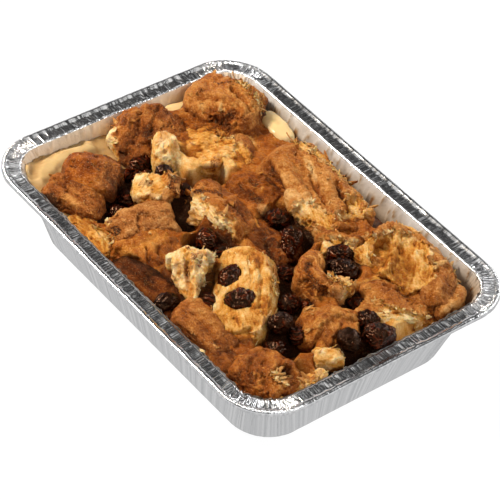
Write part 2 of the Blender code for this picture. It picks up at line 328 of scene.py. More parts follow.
def cells(points, size, seed=0.0):
    """How far each point is from the middle of its cell, from 0 to about 1."""
    spots = (points / size + seed * 7.7).tolist()
    return np.array([noise.voronoi(spot)[0][0] for spot in spots])


def steps(values, count, lip):
    """Steps with steep edges, like leaves of pastry, made of a smooth field, and where their edges are."""
    scaled = values * count
    whole = np.floor(scaled)
    part = scaled - whole
    return (whole + np.clip(part / lip, 0.0, 1.0)) / count, part < lip


def along(points, heading, stretch):
    """The points turned so that X runs along the heading in degrees, and squeezed along it by stretch."""
    turn = math.radians(heading)
    run = (points[:, 0] * math.cos(turn) + points[:, 1] * math.sin(turn)) / stretch
    side = -points[:, 0] * math.sin(turn) + points[:, 1] * math.cos(turn)
    return np.stack([run, side, points[:, 2]], axis=1)


def show(mesh, name, material, nodes=()):
    """Makes the mesh a finished piece that rides with the tray and stands for its CAD nodes."""
    mesh.materials.clear()
    mesh.materials.append(material)
    mesh.shade_smooth()
    piece = bpy.data.objects.new(name, mesh)
    scene.collection.objects.link(piece)
    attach(piece, "root")
    if nodes:
        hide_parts(*nodes)
    return piece


# %% [markdown]
# ## Foil tray
#
# A catering tray is pressed from thin hard aluminium foil in one stroke. Where the flat sheet has to
# shrink, above all at the corners, it gathers into sharp pleats, and the outer edge is curled under.
# A finely divided grid is wrapped round the tray's profile, and its points are then moved in and out
# by pleats that are close together and deep at the corners, wider and shallower on the sides.

# %% Tray profile
TRAY_LENGTH = (cad_high.x - cad_low.x) / MM
TRAY_WIDTH = (cad_high.y - cad_low.y) / MM
CORNER_STEPS = 112
LONG_STEPS = 190
SHORT_STEPS = 134

# (inset from the rim's outer edge, corner radius, height), from under the curl over the rim to the base.
PROFILE = (
    (2.3, 23.7, 38.9),
    (1.6, 24.4, 38.5),
    (0.8, 25.2, 38.8),
    (0.3, 25.7, 39.5),
    (0.25, 25.75, 40.3),
    (0.7, 25.3, 41.0),
    (1.5, 24.5, 41.3),
    (2.3, 23.7, 41.0),
    (2.9, 23.1, 40.5),
    (3.8, 22.2, 40.4),
    (4.8, 21.2, 40.4),
    (5.8, 20.3, 40.4),
    (6.8, 19.4, 40.4),
    (7.6, 18.6, 40.5),
    (8.3, 17.8, 40.5),
    (8.9, 17.3, 40.1),
    (9.25, 17.3, 39.2),
    (9.5, 17.4, 38.2),
)
WALL_TOP = (9.9, 17.6, 36.6)
WALL_FOOT = (17.8, 20.2, 4.0)
WALL_ROWS = 17
FOOT = ((18.3, 20.2, 2.2), (19.2, 19.9, 0.9), (20.6, 18.6, 0.25), (24.0, 16.0, 0.2), (38.0, 8.0, 0.2))

wall = [
    tuple(top + (foot - top) * row / (WALL_ROWS - 1) for top, foot in zip(WALL_TOP, WALL_FOOT))
    for row in range(WALL_ROWS)
]
profile = np.array(PROFILE + tuple(wall) + FOOT)
print("tray profile rows:", len(profile))


# %% Round the tray
SIDES = np.array(((1, 1), (-1, 1), (-1, -1), (1, -1)), float)
SIDE_PLEAT = 3.2
CORNER_PLEAT = 1.7

stations = []
for quarter in range(4):
    for step in range(CORNER_STEPS):
        angle = math.radians(90 * (quarter + step / CORNER_STEPS))
        stations.append((quarter, angle, quarter, angle, 0.0, CORNER_PLEAT))
    end = math.radians(90 * (quarter + 1))
    side_steps = SHORT_STEPS if quarter % 2 else LONG_STEPS
    for step in range(side_steps):
        stations.append((quarter, end, (quarter + 1) % 4, end, step / side_steps, SIDE_PLEAT))
columns = [np.array(column) for column in zip(*stations)]
quarter_a, angle_a, quarter_b, angle_b, share, pleat_pitch = columns
turns = len(stations)


def ring(inset, radius, height):
    """The points of one ring round the tray."""
    middle = np.array((TRAY_LENGTH / 2 - inset - radius, TRAY_WIDTH / 2 - inset - radius))
    ends = []
    for quarter, angle in ((quarter_a, angle_a), (quarter_b, angle_b)):
        ends.append(SIDES[quarter] * middle + radius * np.stack([np.cos(angle), np.sin(angle)], 1))
    flat = ends[0] + (ends[1] - ends[0]) * share[:, None]
    return np.column_stack([flat, np.full(turns, height)])


rings = np.array([ring(*row) for row in profile])
spacing = np.linalg.norm(np.roll(rings[4], -1, axis=0) - rings[4], axis=1)
print("steps round the tray:", turns, " way round in mm:", round(spacing.sum()))

# %% [markdown]
# Each pleat is counted as it is passed on the way round. The count grows fast at the corners and
# slowly on the sides, and it is bent into a circle, so that the noise meets itself where it ends.

# %% Pleats
BLEND_STEPS = 31
ends = BLEND_STEPS // 2
wrapped = np.concatenate([pleat_pitch[-ends:], pleat_pitch, pleat_pitch[:ends]])
pitch = np.convolve(wrapped, np.ones(BLEND_STEPS) / BLEND_STEPS, "valid")
cornered = (SIDE_PLEAT - pitch) / (SIDE_PLEAT - CORNER_PLEAT)
passed = np.concatenate([[0.0], np.cumsum(spacing / pitch)])
pleats = passed[-1]
circle = 2 * math.pi * passed[:-1] / pleats
travelled = np.concatenate([[0.0], np.cumsum(spacing)])
way = 2 * math.pi * travelled[:-1] / travelled[-1]


def round_noise(angle, count, row, seed, sharp=False):
    """Noise that closes on itself round the tray, with about count lumps on the way."""
    reach = count / (2 * math.pi)
    values = [
        noise.noise((reach * math.cos(a) + seed, reach * math.sin(a) - seed, row)) for a in angle.tolist()
    ]
    return 1.0 - 2.6 * np.abs(np.array(values)) if sharp else 2.0 * np.array(values)


def by_row(rows, values):
    """One value for each row of the profile."""
    return np.interp(np.arange(len(profile)), rows, values)


def by_place(side, corner):
    """Values by row and place, from those on the sides and those at the corners."""
    return side[:, None] * (1 - cornered) + corner[:, None] * cornered


# How deep the pleats are in mm, by the rows of the profile, on the sides and at the corners.
RIM_DEPTH = by_row(
    (0, 3, 6, 7, 9, 13, 15, 18, 24, 40), (0.03, 0.05, 0.12, 0.4, 0.46, 0.36, 0.25, 0.15, 0.05, 0.0)
)
CORNER_DEPTH = by_row(
    (0, 3, 7, 9, 13, 15, 18, 30, 36, 40), (0.06, 0.14, 0.32, 0.6, 0.66, 0.5, 0.35, 0.25, 0.12, 0.0)
)
WALL_DEPTH = by_row((0, 14, 18, 32, 36, 40), (0.0, 0.15, 0.5, 0.25, 0.1, 0.05))
tangent = np.roll(rings, -1, axis=1) - np.roll(rings, 1, axis=1)
climb = np.gradient(rings, axis=0)
normals = np.cross(climb, tangent)
normals /= np.linalg.norm(normals, axis=2, keepdims=True)
if normals[10, :, 2].mean() < 0:
    normals = -normals
pleat_depth = by_place(RIM_DEPTH, CORNER_DEPTH)
relief = np.zeros(rings.shape[:2])
for row in range(len(profile)):
    lean = row * 0.09
    fine = round_noise(circle + 0.0035 * row, pleats, lean, 3.1, sharp=True)
    broad = round_noise(circle, pleats / 2.7, lean * 0.5, 9.4)
    wrinkle = round_noise(way, 70, row * 0.05, 21.0, sharp=True)
    wrinkle += 0.6 * round_noise(way, 28, row * 0.04, 33.0)
    regular = np.cos(2 * math.pi * passed[:-1] + 6.0 * broad)
    pleat = (0.55 + 0.3 * cornered) * fine + 0.45 * broad + 0.2 * regular * (1 - cornered)
    relief[row] = pleat_depth[row] * pleat + WALL_DEPTH[row] * (0.4 + 0.6 * cornered) * 0.6 * wrinkle
rings = rings + normals * relief[:, :, None]
# The finest pleats are left to the finish: it reads how many have been passed, and how deep they are here.
FINE_ROWS = (0, 4, 7, 9, 14, 16, 19, 40)
RIM_FINE = by_row(FINE_ROWS, (0.01, 0.02, 0.04, 0.09, 0.09, 0.08, 0.04, 0.02))
CORNER_FINE = by_row(FINE_ROWS, (0.06, 0.14, 0.18, 0.26, 0.26, 0.24, 0.16, 0.08))
fine_depth = by_place(RIM_FINE, CORNER_FINE)
fine_place = np.broadcast_to(passed[:-1], fine_depth.shape)
rings[:, :, 2] = np.maximum(rings[:, :, 2], 0.15)


# %% Foil mesh
def wrap_grid(rings):
    """A grid wrapped round the tray, its last column on its first."""
    bm = bmesh.new()
    bmesh.ops.create_grid(bm, x_segments=turns, y_segments=len(rings) - 1, size=1.0)
    placed = np.concatenate([np.vstack([points, points[:1]]) for points in rings]) * MM
    for vert, point in zip(bm.verts, placed.tolist()):
        vert.co = point
    return bm


bm = wrap_grid(rings)
for name, values in (("pleat_place", fine_place), ("pleat_depth", fine_depth)):
    layer = bm.verts.layers.float.new(name)
    wrapped_values = np.hstack([values, values[:, :1]]).ravel()
    for vert, value in zip(bm.verts, wrapped_values.tolist()):
        vert[layer] = value
bmesh.ops.remove_doubles(bm, verts=bm.verts, dist=0.002 * MM)
base_edges = [e for e in bm.edges if e.is_boundary and e.verts[0].co.z < 2 * MM]
bmesh.ops.contextual_create(bm, geom=base_edges)
bmesh.ops.recalc_face_normals(bm, faces=bm.faces)
rim_face = max(bm.faces, key=lambda face: face.calc_center_median().z)
if rim_face.normal.z < 0:
    bmesh.ops.reverse_faces(bm, faces=bm.faces)
foil_mesh = mesh_from(bm, "foil_tray_skin")

# %% Foil finish
# Hard aluminium foil: a bright mirror with duller patches, its finest pleats and crinkles only bumps.
foil, tree, shader = new_material("hard_aluminium_foil")
set_inputs(shader, Metallic=1.0)
grain = speckles(tree, 2.5, 4.0)
tree.links.new(span(tree, grain, 0.3, 0.7, 0.16, 0.27), shader.inputs["Roughness"])
crinkled = bumps(tree, speckles(tree, 5.0, 3.0), 0.5, 0.25)
passed_by = painted_value(tree, "pleat_place")
pleat_deep = painted_value(tree, "pleat_depth")
spot = add_node(tree, "ShaderNodeCombineXYZ", {"X": passed_by, "Y": pleat_deep})
gathers = add_node(
    tree,
    "ShaderNodeTexNoise",
    {"Vector": spot.outputs["Vector"]},
    {"Scale": 1.0, "Detail": 3.0, "Roughness": 0.6},
).outputs["Fac"]
# The colour is paler and darker in streaks along the pleats: painted shade.
pleat_shade_streaks = ramp(tree, gathers, ((0.36, "#D4D5D7"), (0.6, "#F2F2F3")))
tree.links.new(pleat_shade_streaks, shader.inputs["Base Color"])
folded = maths(tree, "ABSOLUTE", maths(tree, "ADD", gathers, -0.5))
deep = maths(tree, "MULTIPLY", span(tree, folded, 0.0, 0.12, 1.0, 0.0), pleat_deep)
tree.links.new(bumps(tree, deep, 1.0, links={"Normal": crinkled}), shader.inputs["Normal"])
tray = show(foil_mesh, "foil_tray_skin", foil, ["foil_tray"])
skin = tray.modifiers.new("Foil thickness", "SOLIDIFY")
skin.thickness = 0.2 * MM
skin.offset = 0.0
print("foil points:", len(foil_mesh.vertices))

# %% [markdown]
# Whatever lies in the tray has to stay in front of its foil. Points that swelling or relief has pushed
# into the wall are drawn back along a line to the tray's middle, corner arcs included.


# %% Inside the foil
def inside_tray(points, gap):
    """Brings points back to at least this gap in millimetres inside the tray's wall and base."""
    kept = points.copy()
    kept[:, 2] = np.maximum(kept[:, 2], 0.3 + 0.5 * gap)
    inner = profile[len(PROFILE) - 3 :][::-1]
    inset = np.interp(kept[:, 2], inner[:, 2], inner[:, 0]) + gap
    radius = np.interp(kept[:, 2], inner[:, 2], inner[:, 1])
    straight = np.array((TRAY_LENGTH / 2, TRAY_WIDTH / 2)) - (inset + radius)[:, None]
    past = np.maximum(np.abs(kept[:, :2]) - straight, 0.0)
    pull = np.minimum(1.0, radius / np.maximum(np.linalg.norm(past, axis=1), 1e-6))[:, None]
    kept[:, :2] = np.sign(kept[:, :2]) * (np.minimum(np.abs(kept[:, :2]), straight) + past * pull)
    return kept


# %% [markdown]
# Custard has run and splashed up the inside of the wall and dried there to a thin tan film. Its tan is
# partly the film's own colour and partly a painted reflection of the pudding in the foil. It follows
# the foil a fraction of a millimetre in front of it, darker low down and in the corners at the +x end,
# with painted shade in its creases and painted light on the far left wall.

# %% Film on the wall
film_finish, tree, shader = new_material("dried_custard_film_with_painted_light")
FILM_TANS = ((0.0, "#6A3C18"), (0.25, "#8E6844"), (0.5, "#A8947C"), (0.75, "#BAB0A4"), (1.0, "#D2D1D0"))
tans = ramp(tree, painted_value(tree, "tone"), FILM_TANS)
# The glaze share mixes in a pale warm tan: painted light.
painted_light_tans = mix(tree, painted_value(tree, "glaze"), tans, "#FFECD0")
tree.links.new(painted_light_tans, shader.inputs["Base Color"])
set_inputs(shader, Roughness=0.4)
tree.links.new(bumps(tree, speckles(tree, 1.6, 3.0), 0.5, 0.5), shader.inputs["Normal"])

FILM_ROWS = slice(len(PROFILE) - 3, len(PROFILE) + 9)
inward = normals[FILM_ROWS] * (0.22 + 0.1 * np.abs(relief[FILM_ROWS]))[:, :, None]
bm = wrap_grid(rings[FILM_ROWS] + inward)
bmesh.ops.remove_doubles(bm, verts=bm.verts, dist=0.002 * MM)
film_mesh = mesh_from(bm, "custard_film_with_painted_light")
film_points = points_of(film_mesh)
film_folds = creases(film_points * np.array((1, 1, 0.12)), 7.0, 2, 5.5)
film_normals = points_of(film_mesh, "normal")
into_tray = film_normals * np.sign(-(film_points * film_normals).sum(axis=1))[:, None]
move_points(film_mesh, film_points + into_tray * (0.7 * smooth_step(0.6, 0.95, film_folds) + 0.1)[:, None])
corner_share = smooth_step(70, 96, np.abs(film_points[:, 0])) * smooth_step(40, 66, np.abs(film_points[:, 1]))
film_shade = 0.42 + 0.04 * (film_points[:, 2] - 27.0) + 0.14 * lumps(film_points, 8.0, 3, 5.1)
# Its creases are painted darker as shade.
film_shade -= 0.5 * smooth_step(0.8, 0.95, film_folds) + 0.3 * corner_share * (film_points[:, 0] > 0)
paint(film_mesh, "tone", film_shade)
# The far left wall, which faces away from the main lamp, is painted paler and warmer: painted light.
paint(film_mesh, "glaze", 0.75 * smooth_step(-80, -96, film_points[:, 0]))
show(film_mesh, "custard_film_with_painted_light", film_finish)

# %% [markdown]
# ## How high the pudding stands
#
# Bread that has soaked up custard fills the gaps to a little below the tops. A map of the solids'
# height, taken by dropping a ray at each place and then blurred, says how high that is anywhere.

# %% Height of the pieces
MAP_STEP = 1.5
tops = bmesh.new()
owner = []
for node, obj in frame["nodes"].items():
    if node != "foil_tray":
        tops.from_mesh(obj.data)
        owner += [node] * len(obj.data.polygons)
tree_of_tops = BVHTree.FromBMesh(tops)
tops.free()
map_x = np.arange(-99, 99.1, MAP_STEP)
map_y = np.arange(-69, 69.1, MAP_STEP)
heights = np.full((len(map_x), len(map_y)), 28.0)
on_top = np.full(heights.shape, "custard_filling", dtype=object)
for i, x in enumerate(map_x):
    for j, y in enumerate(map_y):
        hit, _, face, _ = tree_of_tops.ray_cast(Vector((x, y, 90)) * MM, Vector((0, 0, -1)))
        if hit is not None:
            heights[i, j] = hit.z / MM
            on_top[i, j] = owner[face]


def blur(values, reach):
    """A soft average over about reach millimetres."""
    width = int(round(3 * reach / MAP_STEP))
    bell = np.exp(-0.5 * (np.arange(-width, width + 1) * MAP_STEP / reach) ** 2)
    bell /= bell.sum()
    for axis in (0, 1):
        padded = np.pad(values, [(width, width) if a == axis else (0, 0) for a in (0, 1)], mode="edge")
        values = np.apply_along_axis(lambda row: np.convolve(row, bell, "valid"), axis, padded)
    return values


def read_map(values, points):
    """The map's value at each point, between the four nearest places."""
    u = np.clip((points[:, 0] - map_x[0]) / MAP_STEP, 0, len(map_x) - 1.001)
    v = np.clip((points[:, 1] - map_y[0]) / MAP_STEP, 0, len(map_y) - 1.001)
    i, j = u.astype(int), v.astype(int)
    u, v = u - i, v - j
    low = values[i, j] * (1 - v) + values[i, j + 1] * v
    high = values[i + 1, j] * (1 - v) + values[i + 1, j + 1] * v
    return low * (1 - u) + high * u


def widest(values, reach, pick):
    """The highest or lowest value within reach millimetres."""
    steps_out = int(round(reach / MAP_STEP))
    best = values
    for i in range(-steps_out, steps_out + 1):
        for j in range(-steps_out, steps_out + 1):
            if i * i + j * j <= steps_out * steps_out + 1:
                best = pick(best, np.roll(values, (i, j), (0, 1)))
    return best


highest = widest(heights, 4.5, np.maximum)
snug_height = blur(widest(highest, 4.5, np.minimum), 2.0) - 4.5
full_height = blur(widest(widest(heights, 9.0, np.maximum), 9.0, np.minimum), 2.0) - 1.6
open_height = blur(highest, 3.0)

# %% [markdown]
# Raisins lie in wet hollows, where the bed stays low and is painted dark, partly as painted shade. So do a
# few gaps without raisins.

# %% Hollows
DARK_GAPS = (
    (-46, -45), (-38, -10), (-35, -9), (-31, -14), (-30, -18), (-25, -20), (17, 24), (20, 62),
    (36, -4), (44, -13), (54, -14), (63, -24), (85, 4), (88, -41), (92, -20),
)  # fmt: skip
grid_x, grid_y = np.meshgrid(map_x, map_y, indexing="ij")
middles = [
    points_of(obj.data).mean(axis=0)[:2] for node, obj in frame["nodes"].items() if node.startswith("raisin")
]
gap_to_hollow = np.min(
    [np.hypot(grid_x - x, grid_y - y) for x, y in middles + [np.array(gap) for gap in DARK_GAPS]], axis=0
)
raisin_hollow = smooth_step(10.0, 6.0, gap_to_hollow)
soaked_height = snug_height + (full_height - snug_height) * smooth_step(7.0, 12.0, gap_to_hollow)

# %% [markdown]
# ## Croissant
#
# A croissant is leaves of dough with butter between them. Its outside bakes to a thin brown crust
# that flakes along the leaves; torn open, it shows pale, stringy, moist crumb. One material does
# both, and painted values tell it where it is: crust, toast, tone, glaze, and soaking together with
# painted shade. Tone also holds painted light and shade on the relief.

# %% Croissant finish
croissant, tree, shader = new_material("baked_croissant")
painted = {name: painted_value(tree, name) for name in ("crust", "toast", "tone", "glaze", "soak_and_shade")}
speckle = speckles(tree, 0.8, 3.0, 0.7)
mottle = maths(tree, "MULTIPLY_ADD", speckle, 1.2, speckles(tree, 7.0, 3.0, 0.55))
shade = maths(tree, "MULTIPLY_ADD", maths(tree, "ADD", mottle, -1.1), 0.7, painted["tone"])
DULL_CRUST = ((0.0, "#3A1706"), (0.25, "#763C14"), (0.5, "#A8662E"), (0.75, "#CC9052"), (1.0, "#E6BC86"))
GLAZED_CRUST = ((0.0, "#361002"), (0.25, "#7E3808"), (0.5, "#AE5E1A"), (0.75, "#D28C3A"), (1.0, "#EAB468"))
CRUMB = ((0.0, "#7A3E0C"), (0.25, "#B86A1E"), (0.5, "#DE9E46"), (0.75, "#F0C078"), (1.0, "#FBDFA8"))
TOASTED = ((0.0, "#C87E24"), (0.4, "#A2540E"), (0.7, "#5E2A0A"), (1.0, "#201006"))
SOAKED_AND_SHADED = ((0.0, "#160501"), (0.5, "#4A1C05"), (1.0, "#96521E"))

crust_colour = mix(tree, painted["glaze"], ramp(tree, shade, DULL_CRUST), ramp(tree, shade, GLAZED_CRUST))
baked_colour = mix(tree, painted["crust"], ramp(tree, shade, CRUMB), crust_colour)
# Toast breaks up into speckles, and bread darkens as a whole where it is soaked and where shade is painted.
toast_now = maths(
    tree, "MULTIPLY", painted["toast"], span(tree, speckle, 0.38, 0.62, 0.45, 1.4), use_clamp=True
)
toast_share = span(tree, toast_now, 0.05, 0.6, 0.0, 1.0)
toasted_colour = mix(tree, toast_share, baked_colour, ramp(tree, toast_now, TOASTED))
soak_and_shade_share = span(tree, painted["soak_and_shade"], 0.0, 1.0, 0.0, 0.85)
soaked_and_shaded_colour = mix(tree, soak_and_shade_share, toasted_colour, ramp(tree, shade, SOAKED_AND_SHADED))
# The finest grain: pale specks painted in as glints where it is dry, most of them on the crust and glossier,
# and dark specks painted in as the shadows of pores.
grains = speckles(tree, 0.6, 2.0, 0.6)
glint_speck = maths(
    tree,
    "MULTIPLY",
    span(tree, grains, 0.6, 0.72, 0.0, 0.6),
    span(tree, painted["crust"], 0.0, 1.0, 0.35, 1.0),
)
glint_speck = maths(tree, "MULTIPLY", glint_speck, maths(tree, "SUBTRACT", 1.0, soak_and_shade_share))
pore_shadow_colour = mix(tree, painted["crust"], "#A45E20", "#5A2408")
pore_shadowed_colour = mix(tree, span(tree, grains, 0.43, 0.3, 0.0, 0.45), soaked_and_shaded_colour, pore_shadow_colour)
tree.links.new(mix(tree, glint_speck, pore_shadowed_colour, "#F2C88C"), shader.inputs["Base Color"])
shine = maths(tree, "MAXIMUM", painted["glaze"], painted["soak_and_shade"])
rough = maths(tree, "MULTIPLY_ADD", glint_speck, -0.4, span(tree, shine, 0.0, 1.0, 0.5, 0.26))
tree.links.new(rough, shader.inputs["Roughness"])
# Light goes further into moist crumb than into crust.
tree.links.new(span(tree, painted["crust"], 0.0, 1.0, 0.4, 0.1), shader.inputs["Subsurface Weight"])
set_inputs(shader, IOR=1.4, Specular_IOR_Level=0.42, Specular_Tint=linear("#FFD0A0"))
set_inputs(shader, Subsurface_Radius=(1.0, 0.55, 0.22), Subsurface_Scale=1.2 * MM)
tree.links.new(bumps(tree, speckles(tree, 1.0, 4.0, 0.8), 1.15), shader.inputs["Normal"])

# %% [markdown]
# Each CAD piece is a plain lump of the right size. A merged copy is remeshed into even small faces,
# its hard edges are rubbed down, and then relief is added.


# %% Remeshed copy
def even_copy(node, size, rub=5, swell=0.3):
    """An evenly divided copy of a CAD node, its edges rubbed round, swollen back by swell millimetres."""
    bm = bmesh.new()
    bm.from_mesh(frame["nodes"][node].data)
    bmesh.ops.remove_doubles(bm, verts=bm.verts, dist=0.01 * MM)
    mesh = mesh_from(bm, node + "_rough")
    rough = bpy.data.objects.new(node + "_rough", mesh)
    scene.collection.objects.link(rough)
    remesh = rough.modifiers.new("Even faces", "REMESH")
    remesh.mode = "VOXEL"
    remesh.voxel_size = size * MM
    graph = bpy.context.evaluated_depsgraph_get()
    even = bpy.data.meshes.new_from_object(rough.evaluated_get(graph))
    even.name = node + "_skin"
    bpy.data.objects.remove(rough)
    bpy.data.meshes.remove(mesh)
    bm = bmesh.new()
    bm.from_mesh(even)
    axes = dict(use_axis_x=True, use_axis_y=True, use_axis_z=True)
    for _ in range(rub):
        bmesh.ops.smooth_vert(bm, verts=bm.verts, factor=0.5, **axes)
    bm.to_mesh(even)
    bm.free()
    move_points(even, points_of(even) + points_of(even, "normal") * swell)
    return even
